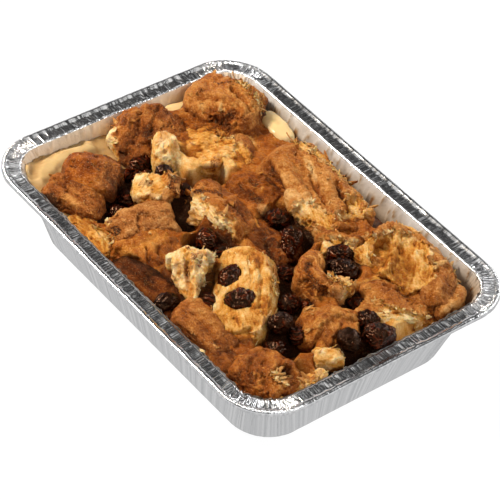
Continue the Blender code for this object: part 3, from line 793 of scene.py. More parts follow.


# %% [markdown]
# A short table says what each torn piece is like: which way its crust faces, how much of it is crust,
# which way its leaves or strings run, how pale and how glazed it is. Then come its own marks, drawn on
# it from above like brush strokes: ridges, folds, burnt edges and patches of bare crumb.

# %% Croissant pieces
# faces: the (heading, rise) of the crust in degrees. cover: from -1, all crumb, to 1, all crust.
# grain: a heading. tone: from 0, dark, to 1, pale. glaze: from 0, dull, to 1, shiny.
# warp, rough: how far its outline is bent and how strong its relief is, 1 unless given. lean: how far
# its foot goes sideways for each millimetre down. strata: how much its leaves show as level stripes.
# soak, dry: how much wetter and darker it is, and the share of the wet and painted shade that it is spared.
# Each mark: its kind, width in mm, strength, and its path in mm.
PIECES = {
    "torn_wedge": dict(
        faces=(57, 40), cover=-0.7, grain=-55, tone=0.78, glaze=0.5, warp=0.3, rough=0.8, dry=0.4,
        marks=[
            ("carve", 6.0, 5.0, ((21, -35), (26, -40), (30, -45))),
            ("carve", 3.0, 2.5, ((8, -52), (16, -54), (22, -56))),
            ("ridge", 2.4, 2.0, ((12, -43), (17, -44), (23, -48), (28, -51))),
            ("toast", 2.6, 0.45, ((12, -49), (16, -48), (17, -45), (14, -43), (15, -37))),
            ("toast", 6.0, 0.22, ((10, -41), (14, -39))),
            ("pale", 3.5, 0.3, ((4, -49), (7, -46))),
            ("groove", 1.6, 1.2, ((12, -44), (18, -48), (25, -50))),
            ("ridge", 2.2, 1.0, ((9, -50), (16, -52), (26, -52))),
            ("toast", 1.6, 0.4, ((14, -46), (19, -49), (25, -51))),
        ],
    ),
    "crust_curl": dict(
        faces=(240, 10), cover=0.9, grain=140, tone=0.53, glaze=0.75, rough=0.6, warp=0.12,
        strata=1.0, dry=0.5,
        marks=[
            ("groove", 2.4, 1.2, ((43, 4), (45, -1), (49, -3), (53, -3), (58, 0))),
            ("burn", 2.6, 0.75, ((43, 3), (44, -1), (49, -3), (53, -3), (58, -1))),
            ("pale", 7.0, 0.16, ((58, -3), (64, 4))),
            ("dull", 7.0, 0.5, ((58, -3), (64, 4))),
            ("crumb", 2.6, 1.0, ((54, 5), (58, 7), (62, 8))),
            ("ridge", 2.0, 0.8, ((40, 2), (42, -4), (48, -8), (55, -8))),
        ],
    ),
    "crust_half": dict(
        faces=(-90, 60), cover=0.75, grain=-19, tone=0.58, glaze=0.5, warp=0.6, rough=0.8, dry=0.5,
        marks=[
            ("groove", 2.0, 2.4, ((-25, 31), (-22, 30), (-16, 29), (-10, 27), (-6, 26))),
            ("dark", 1.6, 0.35, ((-22, 30), (-16, 29), (-10, 27))),
            ("crumb", 3.0, 1.2, ((-18, 26), (-12, 25), (-7, 23))),
            ("groove", 1.8, 1.7, ((-6, 42), (4, 38), (12, 36))),
            ("groove", 1.8, 1.6, ((6, 48), (11, 46), (20, 44))),
            ("dark", 1.6, 0.3, ((8, 48), (11, 46), (20, 44))),
            ("ridge", 3.0, 1.1, ((-16, 36), (-6, 34), (4, 31))),
            ("ridge", 2.6, 1.0, ((0, 46), (9, 42), (17, 39))),
            ("crumb", 5.5, 2.4, ((9, 25), (15, 28), (21, 29), (25, 31))),
            ("crumb", 4.5, 1.6, ((-25, 51), (-19, 51), (-11, 54), (-5, 56), (3, 55))),
            ("pale", 2.6, 0.2, ((-15, 46), (-9, 44), (-2, 41))),
            ("crumb", 1.8, 0.9, ((-15, 46), (-9, 44), (-2, 41))),
            ("crumb", 4.5, 1.6, ((18, 50), (22, 50), (25, 49))),
            ("groove", 5.0, 2.4, ((18, 48), (23, 46), (24, 40))),
            ("crumb", 5.0, 2.4, ((18, 48), (23, 46), (24, 38))),
            ("pale", 4.5, 0.35, ((18, 48), (23, 46), (24, 38))),
            ("ridge", 2.2, 2.4, ((26, 55), (30, 48), (29, 40), (26, 33))),
            ("crust", 2.6, 3.0, ((24, 57), (29, 52), (31, 45), (29, 38), (26, 32))),
            ("toast", 2.0, 0.5, ((26, 55), (30, 48), (29, 40), (26, 33))),
            ("pale", 7.0, 0.2, ((-16, 30), (-4, 28), (8, 27))),
        ],
    ),
    "crust_top_corner": dict(
        faces=(180, 50), cover=1.0, grain=120, tone=0.57, glaze=0.6,
        marks=[
            ("crumb", 4.0, 1.5, ((-76, 53), (-70, 54), (-63, 54), (-58, 54))),
            ("toast", 3.0, 0.3, ((-74, 52), (-68, 52), (-61, 52))),
            ("groove", 1.8, 1.6, ((-74, 46), (-66, 47), (-59, 47))),
            ("groove", 4.0, 1.8, ((-68, 31), (-62, 35), (-60, 38))),
            ("dark", 4.5, 0.22, ((-67, 31), (-61, 35))),
            ("burn", 1.6, 0.7, ((-84, 44), (-79, 46), (-78, 49))),
            ("ridge", 3.0, 1.2, ((-82, 34), (-74, 38), (-66, 42))),
            ("pale", 4.5, 0.12, ((-78, 28), (-74, 30))),
            ("groove", 1.4, 0.9, ((-79, 31), (-76, 35), (-72, 36))),
        ],
    ),
    "crust_torn_side": dict(
        faces=(80, 55), cover=0.75, grain=-20, tone=0.53, glaze=0.6, dry=0.5,
        marks=[
            ("crumb", 5.5, 2.2, ((-24, -14), (-15, -14), (-7, -14), (0, -12))),
            ("pale", 5.5, 0.35, ((-22, -14), (-7, -14), (0, -13))),
            ("burn", 2.4, 0.75, ((-26, -10), (-24, -6), (-21, -3), (-18, -2))),
            ("carve", 4.0, 4.5, ((-31, -8), (-30, -13), (-27, -17))),
            ("wet", 2.4, 1.0, ((-30, -15), (-27, -17))),
            ("toast", 3.0, 0.45, ((-25, -10), (-18, -9), (-10, -9), (-3, -8))),
            ("dark", 6.0, 0.18, ((-8, -3), (-3, 0))),
            ("groove", 1.6, 1.2, ((-18, -3), (-9, -2), (0, 0))),
            ("ridge", 2.4, 1.2, ((-20, 2), (-12, 4), (-4, 5))),
        ],
    ),
    "bowl_right": dict(
        faces=(0, -30), cover=-0.5, grain=-38, tone=0.55, glaze=0.45,
        marks=[
            ("crumb", 13.0, 1.5, ((54, 46), (64, 38), (72, 40))),
            ("groove", 5.0, 2.6, ((49, 42), (54, 35), (58, 28))),
            ("dark", 4.0, 0.2, ((49, 42), (54, 35), (57, 29))),
            ("dull", 8.0, 0.4, ((50, 42), (57, 30))),
            ("ridge", 3.0, 1.5, ((50, 48), (55, 42), (60, 33), (62, 29))),
            ("pale", 3.0, 0.12, ((50, 48), (55, 42), (60, 33))),
            ("crust", 5.5, 1.8, ((40, 42), (43, 48), (48, 52))),
            ("toast", 3.5, 0.45, ((46, 37), (49, 36))),
            ("toast", 3.0, 0.35, ((63, 45), (67, 40))),
            ("crust", 3.0, 1.6, ((50, 55), (57, 58), (64, 59), (70, 58))),
            ("toast", 2.0, 0.4, ((50, 55), (57, 58), (64, 59), (70, 58))),
            ("crust", 6.5, 2.0, ((72, 55), (78, 51), (82, 48))),
            ("burn", 1.4, 0.6, ((68, 53), (71, 51))),
            ("burn", 1.8, 0.45, ((62, 27), (69, 29), (76, 30), (80, 34))),
            ("groove", 2.0, 1.5, ((62, 26), (69, 28), (76, 29))),
            ("ridge", 3.0, 1.2, ((63, 50), (70, 46), (75, 40))),
        ],
    ),
    "crust_tent": dict(
        faces=(57, 45), cover=1.0, grain=97, tone=0.39, glaze=0.5, dry=0.6,
        marks=[
            ("crumb", 4.5, 2.2, ((-95, -11), (-86, -18), (-80, -21), (-74, -22))),
            ("pale", 5.5, 0.7, ((-93, -13), (-86, -18), (-79, -21))),
            ("groove", 2.0, 1.0, ((-90, 4), (-81, -4), (-74, -11))),
            ("dark", 8.0, 0.12, ((-84, 9), (-76, 13))),
            ("ridge", 3.0, 1.2, ((-92, -4), (-84, -9), (-77, -15))),
            ("groove", 1.4, 0.8, ((-86, 12), (-80, 4), (-74, -2))),
            ("ridge", 2.4, 0.9, ((-92, 10), (-90, 2), (-93, -8))),
        ],
    ),
    "crumb_oval": dict(
        faces=(57, 25), cover=-0.9, grain=-42, tone=0.56, glaze=0.3, rough=0.45, warp=0.35,
        marks=[
            ("toast", 2.0, 0.35, ((20, -14), (23, -12), (28, -12), (34, -13))),
            ("toast", 2.0, 0.25, ((36, -14), (41, -16), (46, -19))),
            ("groove", 3.0, 1.4, ((55, -50), (58, -47), (57, -43))),
            ("toast", 4.0, 0.2, ((54, -49), (58, -46), (57, -42))),
            ("groove", 1.2, 0.5, ((24, -18), (34, -24), (44, -32))),
            ("groove", 1.2, 0.5, ((30, -16), (40, -23), (50, -32))),
            ("ridge", 2.4, 0.9, ((26, -17), (37, -24), (48, -33))),
            ("pale", 5.0, 0.08, ((24, -19), (36, -27))),
            ("crust", 3.0, 1.2, ((57, -24), (60, -30))),
        ],
    ),
    "glazed_knob": dict(
        faces=(150, 40), cover=1.1, grain=50, tone=0.3, glaze=1.0, rough=0.55, warp=0.5,
        marks=[
            ("dull", 7.0, 1.0, ((-63, -34), (-58, -38), (-52, -43))),
            ("pale", 6.0, 0.1, ((-63, -34), (-58, -38), (-53, -43))),
            ("burn", 1.5, 0.9, ((-73, -33), (-67, -30), (-61, -28), (-57, -32))),
            ("dark", 5.0, 0.2, ((-55, -37), (-50, -42))),
            ("groove", 1.2, 0.4, ((-69, -33), (-64, -38), (-58, -43))),
        ],
    ),
    "roll_end_left": dict(
        faces=(150, 50), cover=1.0, grain=20, tone=0.42, glaze=0.45, rough=0.7, warp=0.6,
        marks=[
            ("ridge", 3.2, 1.2, ((-70, -53), (-62, -52), (-54, -50))),
            ("pale", 3.5, 0.14, ((-60, -61), (-53, -60), (-49, -58))),
            ("groove", 1.5, 1.1, ((-72, -58), (-63, -58), (-54, -56))),
            ("groove", 1.3, 0.8, ((-68, -63), (-60, -63), (-52, -61))),
            ("dark", 2.0, 0.3, ((-66, -66), (-56, -65), (-48, -62))),
        ],
    ),
    "crumb_block": dict(
        faces=(57, 10), cover=-0.5, grain=100, tone=0.65, glaze=0.4, warp=0.35, rough=0.8,
        marks=[
            ("carve", 5.0, 2.5, ((-55, -20), (-50, -15), (-46, -11))),
            ("carve", 3.0, 3.0, ((-32, -13), (-30, -18), (-29, -22))),
            ("ridge", 2.4, 2.2, ((-44, -14), (-39, -14), (-35, -17))),
            ("burn", 1.8, 0.6, ((-44, -14), (-39, -14), (-36, -18), (-33, -17))),
            ("toast", 3.5, 0.45, ((-45, -15), (-38, -17), (-35, -21))),
            ("crust", 3.0, 1.2, ((-38, -15), (-34, -20), (-34, -26))),
            ("pale", 5.0, 0.12, ((-50, -26), (-45, -21))),
            ("toast", 4.0, 0.25, ((-40, -24), (-37, -28))),
        ],
    ),
    "crumb_spire": dict(
        faces=(140, 30), cover=-0.9, grain=140, tone=0.72, glaze=0.4, warp=0.5, lean=(0.4, -0.3), dry=0.9,
        marks=[
            ("toast", 3.6, 0.5, ((-68, 3), (-65, 0), (-64, -4))),
            ("groove", 1.8, 1.3, ((-60, 3), (-58, 2), (-57, 0))),
            ("toast", 2.0, 0.3, ((-60, 3), (-57, 0))),
        ],
    ),
    "crumb_pale": dict(
        faces=(80, 10), cover=-0.6, grain=60, tone=0.56, glaze=0.4, dry=0.7, rough=0.8,
        marks=[
            ("toast", 2.6, 0.45, ((-58, 10), (-55, 11))),
            ("toast", 2.6, 0.4, ((-49, 20), (-47, 24))),
            ("toast", 2.4, 0.35, ((-43, 13), (-42, 16))),
            ("toast", 2.0, 0.4, ((-44, 17), (-43, 12))),
            ("groove", 3.0, 1.2, ((-64, 8), (-54, 7), (-49, 11))),
            ("groove", 3.0, 1.2, ((-45, 29), (-38, 25), (-34, 21))),
            ("hole", 1.8, 0.7, ((-58, 28), (-55, 31))),
            ("ridge", 4.0, 1.0, ((-43, 9), (-44, 17), (-47, 24))),
            ("pale", 7.0, 0.12, ((-42, 10), (-44, 18), (-46, 24))),
            ("crust", 5.5, 1.6, ((-52, 34), (-45, 36), (-40, 36))),
            ("ridge", 3.5, 1.2, ((-56, 16), (-62, 22), (-66, 26))),
            ("dull", 8.0, 0.5, ((-68, 20), (-60, 24))),
        ],
    ),
    "crust_slope": dict(
        faces=(60, 60), cover=0.9, grain=60, tone=0.57, glaze=0.1,
        marks=[
            ("groove", 1.4, 1.1, ((-30, -40), (-26, -43), (-21, -44))),
            ("groove", 1.2, 0.8, ((-36, -44), (-31, -38), (-26, -34))),
            ("burn", 2.2, 0.9, ((-30, -53), (-28, -53))),
            ("toast", 4.5, 0.3, ((-31, -53), (-27, -53))),
            ("crumb", 5.0, 2.2, ((-40, -54), (-34, -57), (-28, -58))),
            ("pale", 5.0, 0.3, ((-40, -54), (-34, -57), (-28, -58))),
            ("toast", 2.0, 0.3, ((-38, -50), (-33, -53), (-28, -55))),
        ],
    ),
    "crust_behind": dict(
        faces=(90, 50), cover=0.9, grain=10, tone=0.4, glaze=0.9,
        marks=[
            ("pale", 3.6, 0.35, ((-6, 12), (-4, 14))),
            ("dull", 4.5, 1.0, ((-7, 12), (-3, 14))),
            ("dark", 4.0, 0.25, ((-15, 14), (-12, 14))),
            ("ridge", 3.0, 1.2, ((-28, 16), (-20, 20), (-12, 22))),
            ("crumb", 2.6, 1.2, ((-28, 22), (-24, 24))),
        ],
    ),
    "crust_flap": dict(
        faces=(-60, 60), cover=0.95, grain=5, tone=0.48, glaze=0.5, rough=0.7,
        marks=[
            ("ridge", 2.6, 0.9, ((33, -54), (42, -50), (50, -52))),
            ("groove", 1.4, 0.8, ((36, -58), (45, -57), (54, -58))),
            ("toast", 2.0, 0.3, ((34, -50), (42, -47), (50, -49))),
        ],
    ),
    "crust_right_edge": dict(
        faces=(0, 40), cover=0.9, grain=-40, tone=0.46, glaze=0.3,
        marks=[
            ("ridge", 2.4, 1.0, ((78, 53), (83, 46), (88, 40))),
            ("burn", 1.6, 0.5, ((84, 40), (88, 36))),
        ],
    ),
    "crust_lower": dict(
        faces=(200, 50), cover=0.9, grain=52, tone=0.6, glaze=0.7, rough=0.7,
        marks=[
            ("ridge", 3.4, 1.4, ((72, -16), (69, -6), (75, 2))),
            ("groove", 1.4, 1.0, ((73, -14), (76, -18), (77, -21))),
            ("groove", 1.4, 0.9, ((77, -6), (80, -10), (82, -15))),
        ],
    ),
    "crumb_lower_right": dict(
        faces=(140, 50), cover=0.0, grain=60, tone=0.5, glaze=0.6, dry=0.6,
        marks=[
            ("crust", 6.0, 1.6, ((64, 20), (72, 22), (79, 25))),
            ("toast", 3.0, 0.4, ((84, 30), (88, 31))),
            ("crust", 4.5, 1.4, ((83, 28), (88, 31))),
            ("pale", 8.0, 0.45, ((84, 11), (89, 17), (94, 23))),
            ("crumb", 8.0, 2.4, ((84, 11), (89, 17), (94, 23))),
            ("groove", 1.6, 1.2, ((68, 26), (76, 29), (83, 33))),
        ],
    ),
    "crust_bottom_corner": dict(
        faces=(240, 40), cover=0.9, grain=110, tone=0.4, glaze=0.7,
        marks=[
            ("groove", 1.6, 1.2, ((72, -53), (77, -58), (84, -60))),
            ("groove", 1.4, 0.9, ((76, -49), (81, -54), (87, -57))),
            ("hole", 3.4, 1.0, ((84, -46), (88, -43))),
            ("pale", 2.6, 0.4, ((84, -50), (90, -50))),
            ("crumb", 2.6, 1.2, ((84, -50), (90, -50))),
        ],
    ),
    "arch_behind_curl": dict(
        faces=(140, 20), cover=-0.1, grain=45, tone=0.58, glaze=0.6,
        marks=[
            ("crust", 2.6, 1.8, ((25, 23), (29, 29), (34, 34), (40, 38))),
            ("ridge", 2.0, 1.2, ((25, 22), (29, 28), (34, 33), (40, 37))),
            ("crumb", 4.5, 1.6, ((31, 20), (37, 27), (44, 31))),
        ],
    ),
    "crust_folded": dict(
        faces=(0, 60), cover=1.0, grain=110, tone=0.58, glaze=0.8, rough=0.7,
        marks=[
            ("groove", 1.6, 1.5, ((-12, -48), (-7, -51), (-2, -50), (1, -48))),
            ("groove", 1.6, 1.3, ((-10, -43), (-5, -46), (0, -45))),
            ("ridge", 1.8, 1.0, ((-13, -45), (-7, -48), (-1, -48))),
            ("ridge", 2.4, 1.0, ((-22, -58), (-18, -50), (-18, -40))),
            ("glaze", 7.0, 0.4, ((-20, -57), (-16, -48), (-17, -38))),
            ("crumb", 3.0, 1.2, ((-30, -57), (-25, -58))),
        ],
    ),
    "crust_wall_left": dict(
        faces=(-60, 50), cover=1.1, grain=0, tone=0.22, glaze=1.0, soak_and_shade=0.7,
        marks=[
            ("ridge", 2.4, 0.9, ((-14, -60), (0, -57), (14, -56))),
            ("groove", 1.4, 0.9, ((-10, -63), (4, -61), (16, -60))),
        ],
    ),
    "crust_bridge": dict(
        faces=(0, 60), cover=0.7, grain=10, tone=0.4, glaze=0.9, soak_and_shade=0.3,
        marks=[
            ("ridge", 2.2, 1.0, ((2, -6), (10, -2), (18, -2))),
            ("crumb", 2.4, 1.0, ((6, 4), (12, 6))),
            ("dark", 4.0, 0.2, ((16, 2), (22, 0))),
        ],
    ),
    "crust_wall_front": dict(
        faces=(-60, 50), cover=0.8, grain=0, tone=0.4, glaze=0.7, soak_and_shade=0.2,
        marks=[("dark", 4.0, 0.15, ((54, -60), (62, -62))), ("crumb", 3.0, 0.8, ((62, -52), (68, -54)))],
    ),
    "strip_front": dict(faces=(-38, 10), cover=-0.5, grain=90, tone=0.66, glaze=0.4, marks=[]),
    "crumb_small": dict(faces=(57, 10), cover=-0.9, grain=60, tone=0.68, glaze=0.4, marks=[]),
    "flake_corner": dict(faces=(0, 30), cover=0.9, grain=100, tone=0.6, glaze=0.4, marks=[]),
    "crumb_wall": dict(faces=(90, 30), cover=-0.7, grain=0, tone=0.6, glaze=0.4, marks=[]),
}
# What each kind of mark does to a piece: its relief in mm, how far it counts as crust, its tone and so on.
MARKS = {
    "ridge": dict(relief=1.0),
    # Grooves and holes are also painted darker as shade, and a dark mark drawn along a groove is painted
    # shade too.
    "groove": dict(relief=-1.3, tone=-0.12),
    "carve": dict(relief=-1.0),
    "wet": dict(soak_and_shade=1.0, relief=-0.5),
    "hole": dict(relief=-4.0, tone=-0.5, soak_and_shade=0.8),
    "crust": dict(score=1.0),
    "crumb": dict(score=-1.0),
    "toast": dict(toast=0.7),
    "burn": dict(toast=1.0),
    "pale": dict(tone=1.0),
    "dark": dict(tone=-1.0),
    "glaze": dict(glaze=1.0),
    "dull": dict(glaze=-1.0),
}
FACE_SIZE = 0.45


# %% Marks on a piece
def near_path(points, path):
    """How far each point is, seen from above, from a path."""
    path = np.array(path, float)
    gap = np.full(len(points), 1e9)
    for start, end in zip(path[:-1], path[1:]):
        run = end - start
        share = np.clip((points[:, :2] - start) @ run / (run @ run), 0, 1)
        gap = np.minimum(gap, np.linalg.norm(points[:, :2] - start - share[:, None] * run, axis=1))
    return gap


def marks_on(points, marks, seed):
    """Adds up what all marks do at each point; their edges are ragged."""
    total = {name: np.zeros(len(points)) for name in ("relief", "score", "toast", "tone", "glaze", "soak_and_shade")}
    ragged = lumps(points, 2.6, 2, seed + 30)
    for kind, width, strength, path in marks:
        gap = near_path(points, path) + 0.45 * width * ragged
        weight = strength * smooth_step(width, 0.3 * width, gap)
        for name, gain in MARKS[kind].items():
            total[name] += gain * weight
    return total


def warped(points, seed, share):
    """The points pushed about sideways and up and down, so that no outline stays regular."""
    push = [
        1.6 * lumps(points, 13.0, 1, seed + axis) + 0.6 * lumps(points, 5.0, 1, seed + axis + 0.5)
        for axis in (0.1, 0.2, 0.3)
    ]
    return points + share * np.stack(push, axis=1)


def heading_vector(heading, rise):
    """The unit vector at this heading and rise in degrees."""
    flat = math.cos(math.radians(rise))
    turn = math.radians(heading)
    return np.array((flat * math.cos(turn), flat * math.sin(turn), math.sin(math.radians(rise))))


# %% Baking a piece
def bake_piece(node, look, seed):
    """Turns a CAD lump into a torn piece of croissant and paints its crust, toast, tone, glaze and soak; tone
    and soak also hold painted light and shade on its relief, deep down and at its foot.
    """
    mesh = even_copy(node, FACE_SIZE, rub=2, swell=0.45)
    points = warped(points_of(mesh), seed, look.get("warp", 1.0))
    points[:, :2] += (points[:, 2].max() - points[:, 2])[:, None] * np.array(look.get("lean", (0.0, 0.0)))
    move_points(mesh, points)
    points = points_of(mesh)
    normals = points_of(mesh, "normal")
    marks = marks_on(points, look["marks"], seed)
    facing = normals @ heading_vector(*look["faces"])
    ragged = 0.4 * lumps(points, 8.0, 3, seed) + 0.25 * lumps(points, 2.2, 2, seed + 1)
    score = look["cover"] + 0.6 * facing + ragged + marks["score"]
    is_crust = smooth_step(-0.06, 0.06, score)
    rim = np.exp(-((score / 0.14) ** 2))

    folds = creases(along(points, look["grain"], 3.5), 11.0, 2, seed + 19) - 0.5
    sheets = along(points, look["grain"], 2.6)
    if "strata" in look:
        sheets = points * np.array((0.25, 0.25, 2.2))
    leaves, leaf_edge = steps(0.5 * lumps(sheets, 8.0, 3, seed + 2), 4.0, 0.11)
    wrinkles = creases(along(points, look["grain"] + 60, 2.0), 2.4, 2, seed + 3) - 0.5
    cracks = smooth_step(0.88, 0.97, creases(along(points, look["grain"] + 20, 1.6), 6.0, 2, seed + 12))
    grains = lumps(points, 1.5, 2, seed + 4)
    crust_relief = 0.35 + 0.8 * folds + 2.4 * leaves + 0.48 * wrinkles + 0.22 * grains - 0.7 * cracks

    bent = points + 1.6 * np.stack([lumps(points, 8.0, 1, seed + k) for k in (13, 14, 15)], axis=1)
    strings = creases(along(bent, look["grain"], 4.5), 1.5, 2, seed + 5) - 0.5
    clods = lumps(bent, 4.5, 3, seed + 6)
    pits = smooth_step(0.42, 0.1, cells(along(bent, look["grain"], 1.8), 3.4, seed + 7))
    pits *= smooth_step(0.0, 0.4, lumps(points, 9.0, 1, seed + 16))
    crumb_relief = -0.3 + 0.4 * folds + 0.65 * strings + 0.3 * clods - 1.0 * pits + 0.3 * grains

    torn = rim * (0.3 + 1.9 * (creases(points, 2.2, 2, seed + 17) - 0.45))
    relief = is_crust * crust_relief + (1 - is_crust) * crumb_relief + torn
    relief = look.get("rough", 1.0) * relief + marks["relief"]
    move_points(mesh, inside_tray(points + normals * relief[:, None], 0.9))

    tips = smooth_step(0.2, 0.9, crumb_relief + 0.7 * lumps(points, 9.0, 1, seed + 8))
    toast = 0.3 * rim * smooth_step(-0.3, 0.5, lumps(points, 3.0, 2, seed + 9))
    browned = smooth_step(0.3, 0.8, lumps(points, 5.0, 3, seed + 10))
    toast += (1 - is_crust) * 0.3 * tips + is_crust * 0.3 * browned
    tone = look["tone"] + 0.2 * lumps(points, 12.0, 3, seed + 11) + marks["tone"]
    # Leaf edges are painted paler as highlights, wrinkles and folds paler on their crests, and cracks darker:
    # painted light and shade on the relief.
    painted_edge_highlight = (0.1 + 0.25 * look.get("strata", 0.0)) * leaf_edge
    tone += is_crust * (painted_edge_highlight + 0.22 * wrinkles + 0.12 * folds - 0.25 * cracks)
    tone += is_crust * 0.22 * np.exp(-((score / 0.4) ** 2))
    # The crumb's strings, clods and folds are painted paler on top and its pits darker: painted shade on the
    # relief.
    tone += (1 - is_crust) * (0.4 * strings + 0.3 * clods + 0.2 * folds - 0.35 * pits - 0.04)
    # Deep between the pieces, round raisins and at a piece's foot it is painted darker and wet: partly
    # soaked, partly painted shade.
    depth = read_map(open_height, points) - points[:, 2]
    depth = depth + 2.0 * lumps(points, 4.0, 2, seed + 18)
    soak_and_shade = smooth_step(6.0, 14.0, depth) + marks["soak_and_shade"] + look.get("soak_and_shade", 0.0)
    soak_and_shade += 0.9 * read_map(raisin_hollow, points) * smooth_step(2.0, 7.0, depth)
    low_edge = smooth_step(2.6, 0.3, points[:, 2] - read_map(soaked_height, points) + 0.7 * ragged)
    soak_and_shade += 0.4 * low_edge
    tone -= 0.15 * low_edge
    paint(mesh, "crust", is_crust)
    paint(mesh, "toast", np.clip(toast + marks["toast"], 0, 1))
    paint(mesh, "tone", tone)
    paint(mesh, "glaze", np.clip(look["glaze"] + marks["glaze"], 0, 1))
    paint(mesh, "soak_and_shade", np.clip(soak_and_shade * (1 - look.get("dry", 0.0)), 0, 1))
    skin = dict(points=points_of(mesh), crust=is_crust, rim=rim, tone=tone, soak_and_shade=soak_and_shade, look=look)
    show(mesh, node + "_skin", croissant, [node])
    skin["normals"] = points_of(mesh, "normal")
    return skin


skins = {}
for seed, (node, look) in enumerate(PIECES.items()):
    skins[node] = bake_piece(node, look, float(seed))
print("croissant pieces:", len(skins), " points:", sum(len(skin["points"]) for skin in skins.values()))

# %% [markdown]
# ## Flakes and shreds
#
# Torn pastry never ends in a clean edge: leaves of crust lift and break off, and shreds of crumb stand
# up where it was pulled apart. Each one is a small curved sheet, rooted in the surface at one end, and
# they are made together, a few dozen faces each.

# %% Small leaves
chance = np.random.default_rng(7)
gathered = {
    name: np.concatenate([skin[name] for skin in skins.values()])
    for name in ("points", "normals", "crust", "rim", "tone", "soak_and_shade")
}
for name in ("grain", "glaze"):
    gathered[name] = np.concatenate([np.full(len(s["points"]), s["look"][name]) for s in skins.values()])
open_top = smooth_step(-0.1, 0.4, gathered["normals"][:, 2]) * (gathered["soak_and_shade"] < 0.3)
ALONG, ACROSS = 4, 2


def scatter(name, count, weight, crust, length, width, lift, spread, tone, toast):
    """Roots count small leaves where weight is large. Pairs of numbers are the least and the most."""
    picked = chance.choice(len(weight), count, p=weight / weight.sum())
    root, up = gathered["points"][picked], gathered["normals"][picked]
    heading = gathered["grain"][picked] + chance.normal(0, spread, count)
    heading = np.radians(heading + 180 * chance.integers(0, 2, count))
    run = np.stack([np.cos(heading), np.sin(heading), np.zeros(count)], axis=1)
    run -= up * (run * up).sum(axis=1, keepdims=True)
    run /= np.linalg.norm(run, axis=1, keepdims=True)
    side = np.cross(up, run)
    size = [chance.uniform(*pair, count)[:, None, None] for pair in (length, width, lift)]
    s, t = np.meshgrid(np.linspace(0, 1, ALONG + 1), np.linspace(-1, 1, ACROSS + 1))
    s, t = s.ravel()[None, :, None], t.ravel()[None, :, None]
    half = 0.5 * size[1] * (1 - 0.85 * s**1.5) * (1 + chance.uniform(-0.3, 0.3, (count, s.size, 1)))
    rise = size[0] * size[2] * s**1.4 - 0.35 + 0.25 * size[1] * chance.uniform(-1, 1, (count, 1, 1)) * t * t
    places = root[:, None] + run[:, None] * size[0] * s * (1 - 0.3 * size[2] * s)
    places = places + side[:, None] * t * half + up[:, None] * rise
    places += chance.normal(0, 0.12, places.shape)
    bm = bmesh.new()
    for leaf in range(count):
        bmesh.ops.create_grid(bm, x_segments=ALONG, y_segments=ACROSS, size=1.0)
    for vert, place in zip(bm.verts, (places.reshape(-1, 3) * MM).tolist()):
        vert.co = place
    mesh = mesh_from(bm, name)
    tip = np.broadcast_to(s[:, :, 0], (count, s.size))
    paint(mesh, "crust", np.full(tip.size, crust))
    own_tone = gathered["tone"][picked][:, None] + tone + 0.12 * chance.normal(0, 1, (count, 1))
    paint(mesh, "tone", (own_tone + 0.1 * tip).ravel())
    paint(mesh, "toast", np.clip(toast * chance.uniform(0, 1, (count, 1)) * tip, 0, 1).ravel())
    paint(mesh, "glaze", np.repeat(gathered["glaze"][picked], s.size))
    paint(mesh, "soak_and_shade", np.zeros(tip.size))
    piece = show(mesh, name, croissant)
    sheet = piece.modifiers.new("Leaf thickness", "SOLIDIFY")
    sheet.thickness = 0.28 * MM
    sheet.offset = 0.0
    print(name, "count:", count)


crust_weight = gathered["crust"] * open_top * (0.2 + gathered["rim"])
torn_weight = gathered["rim"] * open_top
crumb_weight = (1 - gathered["crust"]) * open_top
# Name, how many, where, 1 for crust or 0 for crumb, length and width in mm, lift, spread of the heading
# in degrees, and what is added to the tone and to the toast.
LEAVES = (
    ("crust_flakes", 300, crust_weight, 1.0, (1.4, 3.8), (1.2, 2.8), (0.02, 0.3), 50, 0.06, 0.4),
    ("torn_fringe", 560, torn_weight, 0.0, (1.2, 3.2), (1.0, 2.4), (0.1, 0.6), 60, 0.02, 0.9),
    ("torn_flaps", 70, torn_weight, 1.0, (3.5, 7.0), (2.5, 5.0), (0.05, 0.35), 70, 0.1, 0.8),
    ("crumb_shreds", 320, crumb_weight, 0.0, (1.5, 3.8), (0.5, 1.1), (0.02, 0.3), 18, 0.06, 0.5),
)
for row in LEAVES:
    scatter(*row)

# %% [markdown]
# ## Soaked bread between the pieces
#
# Between the torn pieces the bread has collapsed into the custard. A sheet follows the map of the
# tops a little below them, and is baked like the rest: brown and glazed where it comes up, nearly
# black where it lies deep among the raisins, partly from soaking and partly as painted shade.


# %% Soaked bread
def clear_corner(points):
    """1 in the left corner, where the custard stays clear of bread, and 0 elsewhere."""
    corner_gap = np.linalg.norm((points[:, :2] - (-92.0, -55.0)) / (40.0, 55.0), axis=1)
    return smooth_step(1.05, 0.75, corner_gap + 0.15 * lumps(points, 9.0, 2, 77.0))


BED_LEVEL = 25.0
BED_INSET = 9.6
BED_CORNER = 17.0
# Along these paths the crumb of a pale piece runs on down into the bed.
CRUMB_PATHS = (
    ((-56, 0), (-49, 3), (-45, 8), (-43, 13), (-40, 18)),
    ((87, 10), (91, 16), (95, 23)),
)
bm = bmesh.new()
bmesh.ops.create_grid(bm, x_segments=250, y_segments=170, size=1.0)
bed_mesh = mesh_from(bm, "soaked_bread")
half = np.array((TRAY_LENGTH / 2 - BED_INSET, TRAY_WIDTH / 2 - BED_INSET))
flat = points_of(bed_mesh)[:, :2] * MM * half
# The sheet's square corners are drawn in to the tray's round ones.
half -= 3.0
beyond = np.maximum(np.abs(flat) - (half - BED_CORNER), 0.0)
reach = np.linalg.norm(beyond, axis=1)
pull = np.minimum(1.0, BED_CORNER / np.maximum(reach, 1e-6))[:, None]
flat = np.sign(flat) * (np.minimum(np.abs(flat), half - BED_CORNER) + beyond * pull)
points = np.column_stack([flat, np.full(len(flat), BED_LEVEL)])
wall_gap = BED_CORNER - np.minimum(reach, BED_CORNER)
rise = np.clip(read_map(soaked_height, points) - BED_LEVEL, 0.0, 16.0)
rise *= (1 - clear_corner(points)) * smooth_step(0.0, 5.0, wall_gap)
